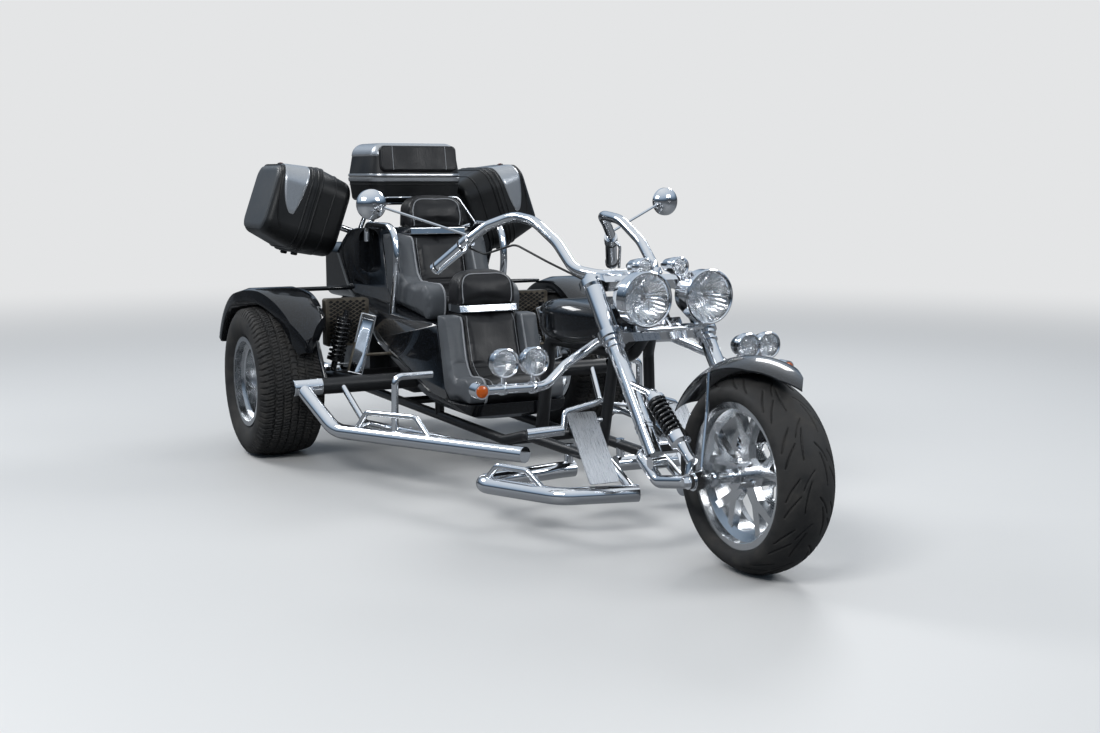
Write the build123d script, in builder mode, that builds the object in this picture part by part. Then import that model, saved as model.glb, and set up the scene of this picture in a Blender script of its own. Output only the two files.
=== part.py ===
"""Motorized trike: one front wheel in a leading link fork, a raised double seat, two wide rear wheels and
three luggage cases. Millimetres, +X forward, +Y left, +Z up. Stations x are given ahead of the rear axle."""

from math import cos, radians, sin, tan
import os

from build123d import *

os.makedirs("parts", exist_ok=True)

# Overall layout
wheelbase = 2528.0
rear_axle_x = -1074.0
rear_wheel_y = 761.6
running_gap = 0.05
seat_gap = 0.3
moving_gap = 6.0
panel_wall = 4.0
sides = (-1, 1)

# Front wheel
front_tyre_r = 311.0
front_tyre_w = 200.0
front_rim_r = 228.0
front_rim_w = 150.0
front_hub_r = 42.0
front_disc_seat = 0.3
front_axle_r = 12.5
front_disc_r = 145.0
front_disc_y = 84.0
front_disc_t = 5.0
spoke_y = 12.0
spoke_t = 26.0

# Rims
rim_flange = 14.0
rim_well = 26.0
rim_wall = 6.0
flange_t = 8.0

# Rear wheels
rear_tyre_r = 330.0
rear_tyre_w = 290.0
rear_rim_r = 196.0
rear_rim_w = 250.0
rear_hub_r = 75.0
rear_stub_r = 30.0
rear_stub_l = 150.0
rear_dish = 40.0

# Steering: the fork tubes lie on a raked line, the stem runs parallel to it and a little ahead
rake = 38.0
fork_y = 186.0
fork_top_z = 865.0
fork_top_x = 1829.0
fork_sleeve_r = 33.0
fork_tube_r = 28.0
fork_sleeve_l = 236.0
fork_l = 672.0
stem_ahead = 40.0
stem_r = 17.0
head_tube_r = 34.0
head_tube_l = 150.0
yoke_t = 24.0
lower_yoke_s = 205.0

# Handlebar
bar_r = 19.0
mirror_r = 58.0
mirror_deep = 30.0
grip_r = 19.5

# Frame
frame_tube_r = 20.0
spine_r = 26.0
tank_low = 622.0
rail_z = 186.0
front_rail_z = 222.0
engine_low = 270.0
engine_half = 260.0
engine_h = 370.0
transaxle_half = 170.0

# Rails under the rider
rail_r = 30.0
loop_r = 30.0
cross_tube_r = 35.0
cross_tube_x = 430.0
cross_tube_z = 352.0
cross_tube_y = 807.0
cap_l = 120.0

# Lamps
headlamp_r = 90.0
headlamp_y = 122.0
headlamp_x = 2092.0
headlamp_z = 821.0
headlamp_l = 150.0
lamp_wall = 2.5
lens_t = 6.0
pod_r = 30.0
driving_lamp_r = 47.0

# Seats
wing_half = 330.0
wing_top_half = 395.0
seat_half = 133.0
bolster_half = 215.0

# Cases
case_wall = 4.0
case_seam = 0.6
top_case_l = 380.0
top_case_w = 460.0
top_case_x = -320.0
top_case_z = 1105.0
top_base_h = 112.0
top_lid_h = 153.0
top_corner = 70.0
pad_w, pad_h, pad_t = 380.0, 118.0, 22.0
side_case_l = 440.0
side_case_h = 404.0
side_case_x = -460.0
side_case_y = 482.0
side_case_z = 1064.0
side_case_tilt = 19.0
side_base_d = 170.0
side_lid_d = 190.0
side_corner = 108.0
case_edge = 40.0


def at(x, y, z):
    """A point given by its station ahead of the rear axle."""
    return (rear_axle_x + x, y, z)


fork_dir = Vector(sin(radians(rake)), 0, -cos(radians(rake)))
fork_out = Vector(cos(radians(rake)), 0, sin(radians(rake)))


def on_fork(along, y, ahead=0.0):
    """A point measured down the fork from its top, at width y and that far ahead of the tubes' line."""
    return Vector(*at(fork_top_x, y, fork_top_z)) + fork_dir * along + fork_out * ahead


def fork_plane(along, y=0.0, ahead=0.0):
    """A plane square to the fork: local x points left, local y points ahead."""
    return Plane(origin=on_fork(along, y, ahead), x_dir=(0, 1, 0), z_dir=fork_dir)


def rod(points, bends, r):
    """Adds a round bar along straight runs joined by tangent bends, one bend radius for each corner."""
    if len(points) == 2:
        with BuildLine() as route:
            Line(*points)
    else:
        with BuildLine() as route:
            FilletPolyline(*points, radius=bends)
    with BuildSketch(Plane(origin=route.line @ 0, z_dir=route.line % 0)) as ring:
        Circle(r)
    sweep(sections=ring.sketch, path=route.line)


def wheel_plane(x, y, z):
    """A plane through a wheel's axis: local x is up, along the radius, and local y runs left, along the axle."""
    return Plane(origin=at(x, y, z), x_dir=(0, 0, 1), z_dir=(-1, 0, 0))


def turned(x, y, z, outline, mode=Mode.ADD):
    """Adds a body turned about an axle from (radius, width) corners."""
    with BuildSketch(wheel_plane(x, y, z)) as section:
        with BuildLine():
            Polyline(*outline, close=True)
        make_face()
    revolve(profiles=section.sketch, axis=Axis(at(x, y, z), (0, 1, 0)), mode=mode)


def tyre(x, y, z, r, w, rim_r, rim_w, crown_drop, shoulder_in):
    """Adds a tyre: a crowned tread, round shoulders, sidewalls and beads on the rim's seat."""
    inner = rim_r - rim_flange + seat_gap
    bead = rim_w / 2 - flange_t - 0.5
    crown = r - crown_drop
    shoulder = w / 2 - shoulder_in
    belly = (rim_r + crown) / 2 + 4
    with BuildSketch(wheel_plane(x, y, z)) as section:
        with BuildLine():
            l1 = Polyline((rim_r + 1.5, -bead), (inner, -bead), (inner, bead), (rim_r + 1.5, bead))
            a1 = ThreePointArc(l1 @ 1, (belly, w / 2), (crown, shoulder))
            a2 = ThreePointArc(a1 @ 1, (r, 0), (crown, -shoulder))
            ThreePointArc(a2 @ 1, (belly, -w / 2), l1 @ 0)
        make_face()
    revolve(profiles=section.sketch, axis=Axis(at(x, y, z), (0, 1, 0)))


def rim_barrel(x, y, z, rim_r, rim_w):
    """Adds a rim's barrel: two flanges, bead seats and a drop well, all in one turned wall."""
    half = rim_w / 2
    seat = rim_r - rim_flange
    well = seat - rim_well
    wall = rim_wall
    lip = flange_t
    outline = [
        (rim_r, -half), (rim_r, -half + lip - 2), (seat, -half + lip), (seat, -half + 34), (well, -half + 46),
        (well, half - 46), (seat, half - 34), (seat, half - lip), (rim_r, half - lip + 2), (rim_r, half),
        (seat - wall, half), (seat - wall, half - 30), (well - wall, half - 42),
        (well - wall, -half + 42), (seat - wall, -half + 30), (seat - wall, -half),
    ]
    turned(x, y, z, outline)


def case_half(seam, long, wide, depth, taper, corner, edge):
    """One half of a case: a tapered box rounded round its far face, with a well of the same form inside it."""
    bodies = []
    for wall in (0.0, case_wall):
        with BuildPart() as box:
            with BuildSketch(seam) as rim:
                RectangleRounded(long - 2 * wall, wide - 2 * wall, corner - wall)
            extrude(to_extrude=rim.sketch, amount=depth - wall, taper=taper)
            far = box.faces().sort_by_distance(seam.origin + seam.z_dir * depth)[0]
            fillet(far.edges(), edge - wall)
        bodies.append(box.part)
    return bodies[0] - bodies[1]


def coil_spring(start, along, length, core_r, coil_out, wire_r, turns):
    """Adds a damper body with its coils standing proud of it, turned from one outline of lines and arcs."""
    radial = along.cross(Vector(0, 1, 0)).normalized()
    side_plane = Plane(origin=start, x_dir=radial, z_dir=radial.cross(along))
    pitch = (length - 4 * wire_r) / (turns - 1)
    with BuildSketch(side_plane) as outline:
        with BuildLine():
            edge = Line((0, 0), (core_r, 0))
            for turn in range(turns):
                middle = 2 * wire_r + pitch * turn
                edge = Line(edge @ 1, (core_r, middle - wire_r))
                edge = ThreePointArc(edge @ 1, (coil_out, middle), (core_r, middle + wire_r))
            edge = Polyline(edge @ 1, (core_r, length), (0, length), (0, 0))
        make_face()
    revolve(profiles=outline.sketch, axis=Axis(start, along))


# Front wheel
with BuildPart() as front_tyre:
    tyre(wheelbase, 0, front_tyre_r, front_tyre_r, front_tyre_w, front_rim_r, front_rim_w, 36, 9)

front_hub_w = 2 * (front_disc_y - front_disc_t / 2 - front_disc_seat)
front_spoke_reach = front_rim_r - rim_flange - rim_well - rim_wall / 2
with BuildPart() as front_rim:
    rim_barrel(wheelbase, 0, front_tyre_r, front_rim_r, front_rim_w)
    hub_plane = Plane(origin=at(wheelbase, 0, front_tyre_r), x_dir=(1, 0, 0), z_dir=(0, -1, 0))
    with BuildSketch(hub_plane.offset(-front_hub_w / 2)):
        Circle(front_hub_r)
    extrude(amount=front_hub_w)
    with BuildSketch(hub_plane.offset(spoke_y)):
        with PolarLocations(0, 5, start_angle=90):
            Polygon((30, -24), (96, -19), (front_spoke_reach, -56), (front_spoke_reach, -30), (128, 0),
                    (front_spoke_reach, 30), (front_spoke_reach, 56), (96, 19), (30, 24), align=None)
        Circle(58)
    extrude(amount=spoke_t)
    with BuildSketch(hub_plane.offset(spoke_y - 1)) as hub_holes:
        with PolarLocations(50, 5, start_angle=90 + 36):
            Circle(6)
    extrude(to_extrude=hub_holes.sketch, amount=spoke_t + 2, mode=Mode.SUBTRACT)
    with BuildSketch(hub_plane.offset(front_hub_w / 2)) as axle_bore:
        Circle(front_axle_r + running_gap)
    extrude(to_extrude=axle_bore.sketch, amount=-front_hub_w, mode=Mode.SUBTRACT)

with BuildPart() as front_disc:
    with BuildSketch(Plane(origin=at(wheelbase, front_disc_y - front_disc_t / 2, front_tyre_r), x_dir=(1, 0, 0),
                           z_dir=(0, 1, 0))):
        Circle(front_disc_r)
        Circle(front_axle_r + 14, mode=Mode.SUBTRACT)
        with PolarLocations(75, 8):
            SlotOverall(52, 30, mode=Mode.SUBTRACT)
        with PolarLocations(118, 24):
            Circle(5, mode=Mode.SUBTRACT)
    extrude(amount=front_disc_t)

# Rear wheels
rear_tyres = {}
rear_rims = {}
for side, name in ((-1, "right"), (1, "left")):
    wheel_y = side * rear_wheel_y
    with BuildPart() as rear_tyres[name]:
        tyre(0, wheel_y, rear_tyre_r, rear_tyre_r, rear_tyre_w, rear_rim_r, rear_rim_w, 14, 22)
    with BuildPart() as rear_rims[name]:
        rim_barrel(0, wheel_y, rear_tyre_r, rear_rim_r, rear_rim_w)
        disc_y = wheel_y - side * rear_dish
        with BuildSketch(Plane(origin=at(0, disc_y, rear_tyre_r), x_dir=(1, 0, 0), z_dir=(0, side, 0))):
            Circle(rear_rim_r - rim_flange - rim_well - rim_wall / 2)
            with PolarLocations(112, 10):
                SlotOverall(58, 24, mode=Mode.SUBTRACT)
            with PolarLocations(62, 5):
                Circle(7, mode=Mode.SUBTRACT)
        extrude(amount=14)
        with BuildSketch(Plane(origin=at(0, disc_y - side * 20, rear_tyre_r), x_dir=(1, 0, 0),
                               z_dir=(0, side, 0))):
            Circle(48)
        extrude(amount=60)
        with BuildSketch(Plane(origin=at(0, disc_y - side * 21, rear_tyre_r), x_dir=(1, 0, 0),
                               z_dir=(0, side, 0))) as stub_bore:
            Circle(rear_stub_r + running_gap)
        extrude(to_extrude=stub_bore.sketch, amount=62, mode=Mode.SUBTRACT)

# Steering: stem, yokes and fork
with BuildPart() as fork_yokes:
    with BuildSketch(fork_plane(-20, 0, stem_ahead)):
        Circle(stem_r)
    extrude(amount=lower_yoke_s + yoke_t + 20)
    for along in (0.0, lower_yoke_s):
        with BuildSketch(fork_plane(along)) as plate:
            Rectangle(2 * fork_y, 60)
            with Locations((0, stem_ahead)):
                Rectangle(110, 70)
            with Locations((-fork_y, 0), (fork_y, 0)):
                Circle(fork_sleeve_r + 12)
        extrude(amount=yoke_t)
    for side in sides:
        with BuildSketch(fork_plane(-1, side * fork_y)) as bore:
            Circle(fork_sleeve_r + seat_gap)
        extrude(to_extrude=bore.sketch, amount=lower_yoke_s + yoke_t + 2, mode=Mode.SUBTRACT)

with BuildPart() as fork_tubes:
    for side in sides:
        with BuildSketch(fork_plane(-14, side * fork_y)):
            Circle(fork_sleeve_r - 4)
        extrude(amount=14)
        with BuildSketch(fork_plane(0, side * fork_y)):
            Circle(fork_sleeve_r)
        extrude(amount=fork_sleeve_l)
        with BuildSketch(fork_plane(lower_yoke_s + yoke_t + 1, side * fork_y)):
            Circle(fork_sleeve_r + 4)
        extrude(amount=14)
        with BuildSketch(fork_plane(fork_sleeve_l, side * fork_y)):
            Circle(fork_tube_r)
        extrude(amount=fork_l - fork_sleeve_l)

# Leading link: one bent loop behind the tyre carries the axle at its front ends
link_y = 205.0
link_r = 21.0
link_pivot = (2287.0, 302.0)
link_low = (2300.0, 262.0)
link_back = (2150.0, 335.0)
with BuildPart() as leading_link:
    rod([at(wheelbase + 10, -link_y, front_tyre_r - 4), at(link_low[0], -link_y, link_low[1]),
         at(link_back[0], -link_y + 12, link_back[1]), at(link_back[0], link_y - 12, link_back[1]),
         at(link_low[0], link_y, link_low[1]), at(wheelbase + 10, link_y, front_tyre_r - 4)],
        [60, 60, 60, 60], link_r)
    for side in sides:
        with BuildSketch(Plane(origin=at(wheelbase, side * (link_y - 26), front_tyre_r), x_dir=(1, 0, 0),
                               z_dir=(0, side, 0))):
            Circle(30)
        extrude(amount=52)
    with BuildSketch(Plane(origin=at(wheelbase, -link_y - 26, front_tyre_r), x_dir=(1, 0, 0),
                           z_dir=(0, 1, 0))) as axle_hole:
        Circle(front_axle_r + seat_gap)
    extrude(to_extrude=axle_hole.sketch, amount=2 * link_y + 52, mode=Mode.SUBTRACT)
    for side in sides:
        rod([at(link_pivot[0] - 22, side * (fork_y - 26), link_pivot[1] + 14),
             at(link_pivot[0] - 22, side * (fork_y + 30), link_pivot[1] + 14)], [], 20)
    add(fork_tubes.part, mode=Mode.SUBTRACT)

with BuildPart() as front_axle:
    with BuildSketch(Plane(origin=at(wheelbase, -link_y - 34, front_tyre_r), x_dir=(1, 0, 0),
                           z_dir=(0, 1, 0))):
        Circle(front_axle_r)
    extrude(amount=2 * link_y + 68)
    for side in sides:
        for start_y, length, r in ((link_y + 27, 16, 24), (92, link_y - 26 - 92 - seat_gap, 18), (92, 8, 23), (150, 8, 23)):
            with BuildSketch(Plane(origin=at(wheelbase, side * start_y, front_tyre_r), x_dir=(1, 0, 0),
                                   z_dir=(0, side, 0))):
                Circle(r)
            extrude(amount=length)

# Front shocks stand on the link's arms and lean back to brackets on the fork
shock_top = (2227.0, 527.0)
shock_foot = (2451.0, 360.0)
shock_y = 186.0
with BuildPart() as front_shocks:
    for side in sides:
        top = Vector(*at(shock_top[0], side * shock_y, shock_top[1]))
        foot = Vector(*at(shock_foot[0], side * shock_y, shock_foot[1]))
        along = (foot - top).normalized()
        length = (foot - top).length
        shock_plane = Plane(origin=top, x_dir=(0, 1, 0), z_dir=along)
        with BuildSketch(shock_plane):
            Circle(14)
        extrude(amount=length)
        coil_spring(top + along * 22, along, length * 0.55, 24, 31, 5, 10)
        with BuildSketch(shock_plane.offset(22 + length * 0.55)):
            Circle(31)
        extrude(amount=length * 0.14)
        rod([at(shock_top[0] + 4, side * shock_y, shock_top[1] + 4), at(2090, side * shock_y, 548)], [], 11)
        rod([at(shock_foot[0], side * shock_y, shock_foot[1] + 6), at(shock_foot[0] + 8, side * (shock_y + 15), 296)],
            [], 12)
    add(fork_tubes.part, mode=Mode.SUBTRACT)
    add(leading_link.part, mode=Mode.SUBTRACT)

with BuildPart() as front_fender:
    fender_in = front_tyre_r + 42.0
    fender_half = 112.0
    with BuildSketch(wheel_plane(wheelbase, 0, front_tyre_r)) as section:
        with BuildLine():
            a1 = ThreePointArc((fender_in - 26, -fender_half), (fender_in + 14, 0), (fender_in - 26, fender_half))
            l1 = Line(a1 @ 1, (fender_in - 26 - panel_wall, fender_half - 1))
            a2 = ThreePointArc(l1 @ 1, (fender_in + 14 - panel_wall, 0), (fender_in - 26 - panel_wall, -fender_half + 1))
            Line(a2 @ 1, a1 @ 0)
        make_face()
    start = section.sketch.rotate(Axis(at(wheelbase, 0, front_tyre_r), (0, 1, 0)), -60)
    revolve(profiles=start, axis=Axis(at(wheelbase, 0, front_tyre_r), (0, 1, 0)), revolution_arc=98)
    with BuildSketch(Plane.XY) as plan:
        Polygon(*[at(x, y, 0)[:2] for x, y in ((2150, -fender_half), (2440, -fender_half), (2600, -86), (2700, -44), (2752, 0),
                                               (2700, 44), (2600, 86), (2440, fender_half), (2150, fender_half))], align=None)
    extrude(to_extrude=plan.sketch, amount=900, mode=Mode.INTERSECT)

# Front fender stays run down to the axle
with BuildPart() as fender_stays:
    for side in sides:
        rod([at(wheelbase - 48, side * (link_y - 26 - 14), front_tyre_r + 24),
             at(wheelbase - 75, side * (fender_half + 18), front_tyre_r + 190),
             at(wheelbase - 90, side * (fender_half + 2), front_tyre_r + 312)], [60], 6)
        rod([at(wheelbase - 48, side * (link_y - 26 - 14), front_tyre_r + 24),
             at(wheelbase, side * (link_y - 14), front_tyre_r + 8)], [], 6)
    add(front_fender.part, mode=Mode.SUBTRACT)
    add(leading_link.part, mode=Mode.SUBTRACT)
    add(front_axle.part, mode=Mode.SUBTRACT)

with BuildPart() as front_brake:
    for side in (1,):
        caliper = Plane(origin=at(wheelbase - 62, side * (front_disc_y - 22), front_tyre_r + 118),
                        x_dir=(1, 0, 0.55), z_dir=(0, side, 0))
        with BuildSketch(caliper):
            RectangleRounded(92, 56, 12)
        extrude(amount=44)
        with Locations(Plane(origin=at(wheelbase, side * front_disc_y, front_tyre_r), x_dir=(1, 0, 0),
                             z_dir=(0, side, 0))):
            Cylinder(front_disc_r + 2, front_disc_t + 3, mode=Mode.SUBTRACT)
        rod([at(wheelbase - 70, side * 100, front_tyre_r + 112), at(wheelbase - 90, side * 160, front_tyre_r + 50),
             at(wheelbase - 90, side * link_y, front_tyre_r - 20)], [20], 10)
    add(leading_link.part, mode=Mode.SUBTRACT)
    add(front_shocks.part, mode=Mode.SUBTRACT)

# Handlebar
bar_route = [
    at(1744, 0, 878), at(1744, -104, 878), at(1672, -166, 894), at(1560, -175, 985), at(1400, -184, 1058),
    at(1244, -190, 1073), at(1160, -262, 1034), at(1120, -305, 990), at(980, -392, 868),
]
bar_shoulder = Vector(*at(1120, 305, 990))
bar_end = Vector(*at(980, 392, 868))
bar_bends = [40, 60, 120, 150, 60, 60, 50]
with BuildPart() as handlebar:
    for side in sides:
        rod([(x, -side * y, z) for x, y, z in bar_route], bar_bends, bar_r)
    for side in sides:
        rod([at(1744, side * 60, 878), on_fork(2, side * 60, 20)], [], 16)
    add(fork_yokes.part, mode=Mode.SUBTRACT)

grip_l = 150.0


def on_bar_end(side, share):
    """A point on the handlebar's last straight run, from its shoulder at 0 to its end at 1."""
    point = bar_shoulder + (bar_end - bar_shoulder) * share
    return Vector(point.X, side * point.Y, point.Z)


def bar_plane(side, share):
    """A plane square to the handlebar's last run."""
    return Plane(origin=on_bar_end(side, share), x_dir=(0, 0, 1), z_dir=on_bar_end(side, 1) - on_bar_end(side, 0))


with BuildPart() as grips:
    for side in sides:
        with BuildSketch(bar_plane(side, 0.27)):
            Circle(grip_r + 4)
            Circle(bar_r + seat_gap, mode=Mode.SUBTRACT)
        extrude(amount=grip_l)
        with BuildSketch(bar_plane(side, 1).offset(1)):
            Circle(grip_r + 6)
        extrude(amount=10)

with BuildPart() as levers:
    for side in sides:
        with BuildSketch(bar_plane(side, 0.08)):
            Circle(bar_r + 8)
            Circle(bar_r + seat_gap, mode=Mode.SUBTRACT)
        extrude(amount=32)
        perch = on_bar_end(side, 0.14)
        along = (on_bar_end(side, 1) - on_bar_end(side, 0)).normalized()
        ahead = Vector(0.73, side * 0.396, -0.556)
        rod([perch + ahead * 22, perch + ahead * 52 + along * 6, perch + ahead * 44 + along * 165], [14], 6)

with BuildPart() as mirrors:
    for side in sides:
        perch = on_bar_end(side, 0.14)
        cup_middle = Vector(*at(975, side * 655, 1115))
        rod([perch + Vector(0, side * 6, bar_r + 8), cup_middle + Vector(4, -side * 30, -6)], [], 5)
        with BuildSketch(Plane(origin=cup_middle, x_dir=(0, 1, 0), z_dir=(0, 0, -1))) as dome:
            with BuildLine():
                face = Polyline((0, -5), (mirror_r - 4, -5), (mirror_r - 4, -9), (mirror_r, -9), (mirror_r, 4))
                back = ThreePointArc(face @ 1, (mirror_r * 0.66, mirror_deep * 0.72), (0, mirror_deep))
                Line(back @ 1, face @ 0)
            make_face()
        revolve(profiles=dome.sketch, axis=Axis(cup_middle, (1, 0, 0)))
    add(levers.part, mode=Mode.SUBTRACT)
    add(handlebar.part, mode=Mode.SUBTRACT)

with BuildPart() as brake_hose:
    hose_start = on_bar_end(-1, 0.14) + Vector(8, 8, -25)
    rod([hose_start, at(1210, -296, 930), at(1400, -262, 975), at(1600, -232, 920), at(1796, -130, 838)],
        [60, 120, 150], 4)
    add(levers.part, mode=Mode.SUBTRACT)

# Lamps
def lamp_shell(front, direction, r, length, tail):
    """Adds a hollow bullet lamp that opens at its front, with its tail closed."""
    across = Vector(0, 1, 0)
    with BuildSketch(Plane(origin=front, x_dir=across, z_dir=across.cross(Vector(*direction)))) as outline:
        with BuildLine():
            Polyline((r - lamp_wall, 0), (r, 0), (r, -length * 0.35), (r * 0.75, -length * 0.75), (tail, -length),
                     (0, -length), (0, -length + 8), (tail - 3, -length + 8), (r * 0.75 - 4, -length * 0.72),
                     (r - lamp_wall, -length * 0.33), close=True)
        make_face()
    revolve(profiles=outline.sketch, axis=Axis(front, direction))


def lamp_lens(front, direction, r):
    """Adds a lamp's glass, a shallow disc held just inside the rim."""
    with BuildSketch(Plane(origin=front, x_dir=(0, 1, 0), z_dir=direction).offset(-2)) as glass:
        Circle(r - lamp_wall - seat_gap)
    extrude(to_extrude=glass.sketch, amount=-lens_t)


headlamps_at = [at(headlamp_x, side * headlamp_y, headlamp_z) for side in sides]
pods_at = [at(1990, side * 70, 918) for side in sides]
with BuildPart() as headlamps:
    for front in headlamps_at:
        lamp_shell(front, (1, 0, 0), headlamp_r, headlamp_l, 24)
    for front in pods_at:
        lamp_shell(front, (1, 0, 0), pod_r, 110, 10)
    rod([at(2052, -headlamp_y, 716), at(2052, headlamp_y, 716)], [], 10)
    for side in sides:
        rod([at(2052, side * headlamp_y, 733), at(2052, side * headlamp_y, 716)], [], 14)
        rod([at(1968, side * 76, 889), at(1968, side * 94, 862)], [], 8)
    rod([on_fork(lower_yoke_s + yoke_t / 2, 0, stem_ahead + 30), at(2052, 0, 716)], [], 10)
    add(fork_yokes.part, mode=Mode.SUBTRACT)
with BuildPart() as headlamp_lenses:
    for front in headlamps_at:
        lamp_lens(front, (1, 0, 0), headlamp_r)
    for front in pods_at:
        lamp_lens(front, (1, 0, 0), pod_r)

# Main frame: a head tube, a spine under the tank, two lower rails and the rear cradle
with BuildPart() as main_frame:
    with BuildSketch(fork_plane(yoke_t + seat_gap, 0, stem_ahead)):
        Circle(head_tube_r)
        Circle(stem_r + running_gap, mode=Mode.SUBTRACT)
    extrude(amount=lower_yoke_s - yoke_t - 2 * seat_gap)
    head_low = on_fork(lower_yoke_s - 40, 0, stem_ahead - head_tube_r + 4)
    spine_z = tank_low - seat_gap - spine_r
    rod([head_low, at(1790, 0, spine_z), at(1180, 0, spine_z), at(1100, 0, rail_z)], [80, 60], spine_r)
    for side in sides:
        rod([head_low, at(1790, side * 70, 600), at(1760, side * 105, front_rail_z), at(1200, side * 120, front_rail_z),
             at(1080, side * 150, rail_z), at(-560, side * 150, rail_z)], [40, 60, 60, 60], frame_tube_r)
        rod([at(cross_tube_x, side * 150, rail_z), at(cross_tube_x, side * 150, cross_tube_z)], [], frame_tube_r)
        rod([at(-345, side * 150, rail_z), at(-345, side * 150, engine_low)], [], frame_tube_r)
    for x in (-540, 0, 1100):
        rod([at(x, -150, rail_z), at(x, 150, rail_z)], [], 18)
    with BuildSketch(fork_plane(yoke_t + seat_gap, 0, stem_ahead)) as stem_bore:
        Circle(stem_r + running_gap)
    extrude(to_extrude=stem_bore.sketch, amount=lower_yoke_s - yoke_t - 2 * seat_gap, mode=Mode.SUBTRACT)

with BuildPart() as cross_tube:
    rod([at(cross_tube_x, -cross_tube_y + cap_l, cross_tube_z), at(cross_tube_x, cross_tube_y - cap_l, cross_tube_z)],
        [], cross_tube_r)
    add(main_frame.part, mode=Mode.SUBTRACT)

with BuildPart() as side_bars:
    for side in sides:
        with BuildSketch(Plane(origin=at(cross_tube_x, side * (cross_tube_y - cap_l), cross_tube_z), x_dir=(1, 0, 0),
                               z_dir=(0, side, 0))):
            Circle(cross_tube_r)
        extrude(amount=cap_l)
        rod([at(440, side * 770, 345), at(637, side * 700, 198), at(1557, side * 303, 225)], [130], rail_r)
        rod([at(450, side * 600, 352), at(600, side * 560, 215), at(1180, side * 440, 232)], [60], 13)
        for x, y in ((700, 672), (900, 585)):
            rod([at(x, side * (y - 10), 205), at(x - 60, side * (y - 130), 218)], [], 9)
        rod([at(742, side * 655, 205), at(812, side * 629, 293), at(1062, side * 522, 303), at(1138, side * 486, 214)],
            [30, 30], 11)
    add(cross_tube.part, mode=Mode.SUBTRACT)

with BuildPart() as foot_loops:
    for side in sides:
        rod([at(1990, side * 90, 150), at(1918, side * 353, 150), at(1590, side * 520, 150), at(1534, side * 148, 150),
             at(1534, side * 90, 150)], [120, 50, 30], loop_r)
        rod([at(1620, side * 492, 160), at(1680, side * 474, 225), at(1800, side * 420, 225), at(1860, side * 380, 160)],
            [34, 34], 11)
        rod([at(1534, side * 112, 160), at(1534, side * 108, front_rail_z)], [], 16)
        rod([at(1985, side * 108, 160), at(1780, side * 108, 250)], [], 16)
    add(main_frame.part, mode=Mode.SUBTRACT)

with BuildPart() as foot_plates:
    for side in sides:
        plate = Plane(origin=at(1847.5, side * 190, 291.5), x_dir=(0, 1, 0), z_dir=(0.785, 0, 0.62))
        with BuildSketch(plate):
            RectangleRounded(115, 279, 10)
        extrude(amount=4)
        rod([at(1772, side * 105, 372), at(1772, side * 160, 372)], [], 9)
    add(foot_loops.part, mode=Mode.SUBTRACT)
    add(main_frame.part, mode=Mode.SUBTRACT)

with BuildPart() as foot_pegs:
    for side in sides:
        rod([at(938, side * 560, 235), at(938, side * 556, 447), at(938, side * 400, 447)], [30], 14)
        rod([at(1705, side * 370, 330), at(1739, side * 245, 341)], [], 19)
        rod([at(1739, side * 245, 341), at(1722, side * 228, 400), at(1766, side * 94, 440)], [20], 12)
    add(side_bars.part, mode=Mode.SUBTRACT)
    add(main_frame.part, mode=Mode.SUBTRACT)

with BuildPart() as highway_bars:
    for side in sides:
        rod([at(1850, side * 593, 522), at(1880, side * 390, 525), at(1852, side * 300, 588), at(1815, side * 150, 655),
             at(1853, side * 42, 662)], [80, 60, 40], 16)
        for x, y in ((1855, 535), (1872, 433)):
            rod([at(x, side * y, 526), at(x, side * y, 568)], [], 8)
    add(main_frame.part, mode=Mode.SUBTRACT)

driving_lamps_at = [at(x + 25, side * y, z) for side in sides for x, y, z in ((1849, 535, 610), (1867, 433, 612))]
with BuildPart() as driving_lamps:
    for front in driving_lamps_at:
        lamp_shell(front, (1, 0, 0), driving_lamp_r, 85, 22)
    add(highway_bars.part, mode=Mode.SUBTRACT)
with BuildPart() as driving_lamp_lenses:
    for front in driving_lamps_at:
        lamp_lens(front, (1, 0, 0), driving_lamp_r)
with BuildPart() as turn_signals:
    for side in sides:
        rod([at(1828, side * 622, 522), at(1878, side * 622, 522)], [], 26)

# Tank
tank_sections = [  # x, half width, z low, z high, corner
    (1265, 90, 640, 735, 30),
    (1400, 150, tank_low, 768, 50),
    (1600, 158, tank_low, 775, 50),
    (1750, 110, 660, 760, 36),
]
with BuildPart() as fuel_tank:
    for x, half, low, high, corner in tank_sections:
        with BuildSketch(Plane(origin=at(x, 0, (low + high) / 2), x_dir=(0, 1, 0), z_dir=(1, 0, 0))):
            RectangleRounded(2 * half, high - low, corner)
    loft()
    add(main_frame.part, mode=Mode.SUBTRACT)

# Body tub: side outlines at three widths, cut to the outline that shows from the front
tub_outline = [  # each corner as x, z beside the seat, then x, z at the wing's edge
    (-66, 985, -118, 985), (-62, 940, -128, 930), (-2, 712, -146, 730), (60, 650, -120, 690),
    (470, 604, 60, 588), (560, 596, 200, 515), (640, 330, 424, 412), (690, 292, 520, 352),
    (850, 300, 600, 322), (905, 300, 640, 306), (880, 250, 640, 296), (800, 222, 620, 288),
    (690, 222, 580, 286), (533, 283, 533, 290), (190, 465, 190, 475), (-190, 690, -186, 696),
    (-150, 930, -160, 930), (-130, 985, -135, 985),
]
tub_front = [(250, 1004), (345, 975), (390, 872), (335, 690), (330, 479), (297, 400), (255, 300), (215, 258),
             (150, 232), (60, 220)]  # y, z down the left side
wing_sweep = 25.0
scoop_y, scoop_z = 268.0, 882.0
scoop_w, scoop_h = 78.0, 200.0
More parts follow.
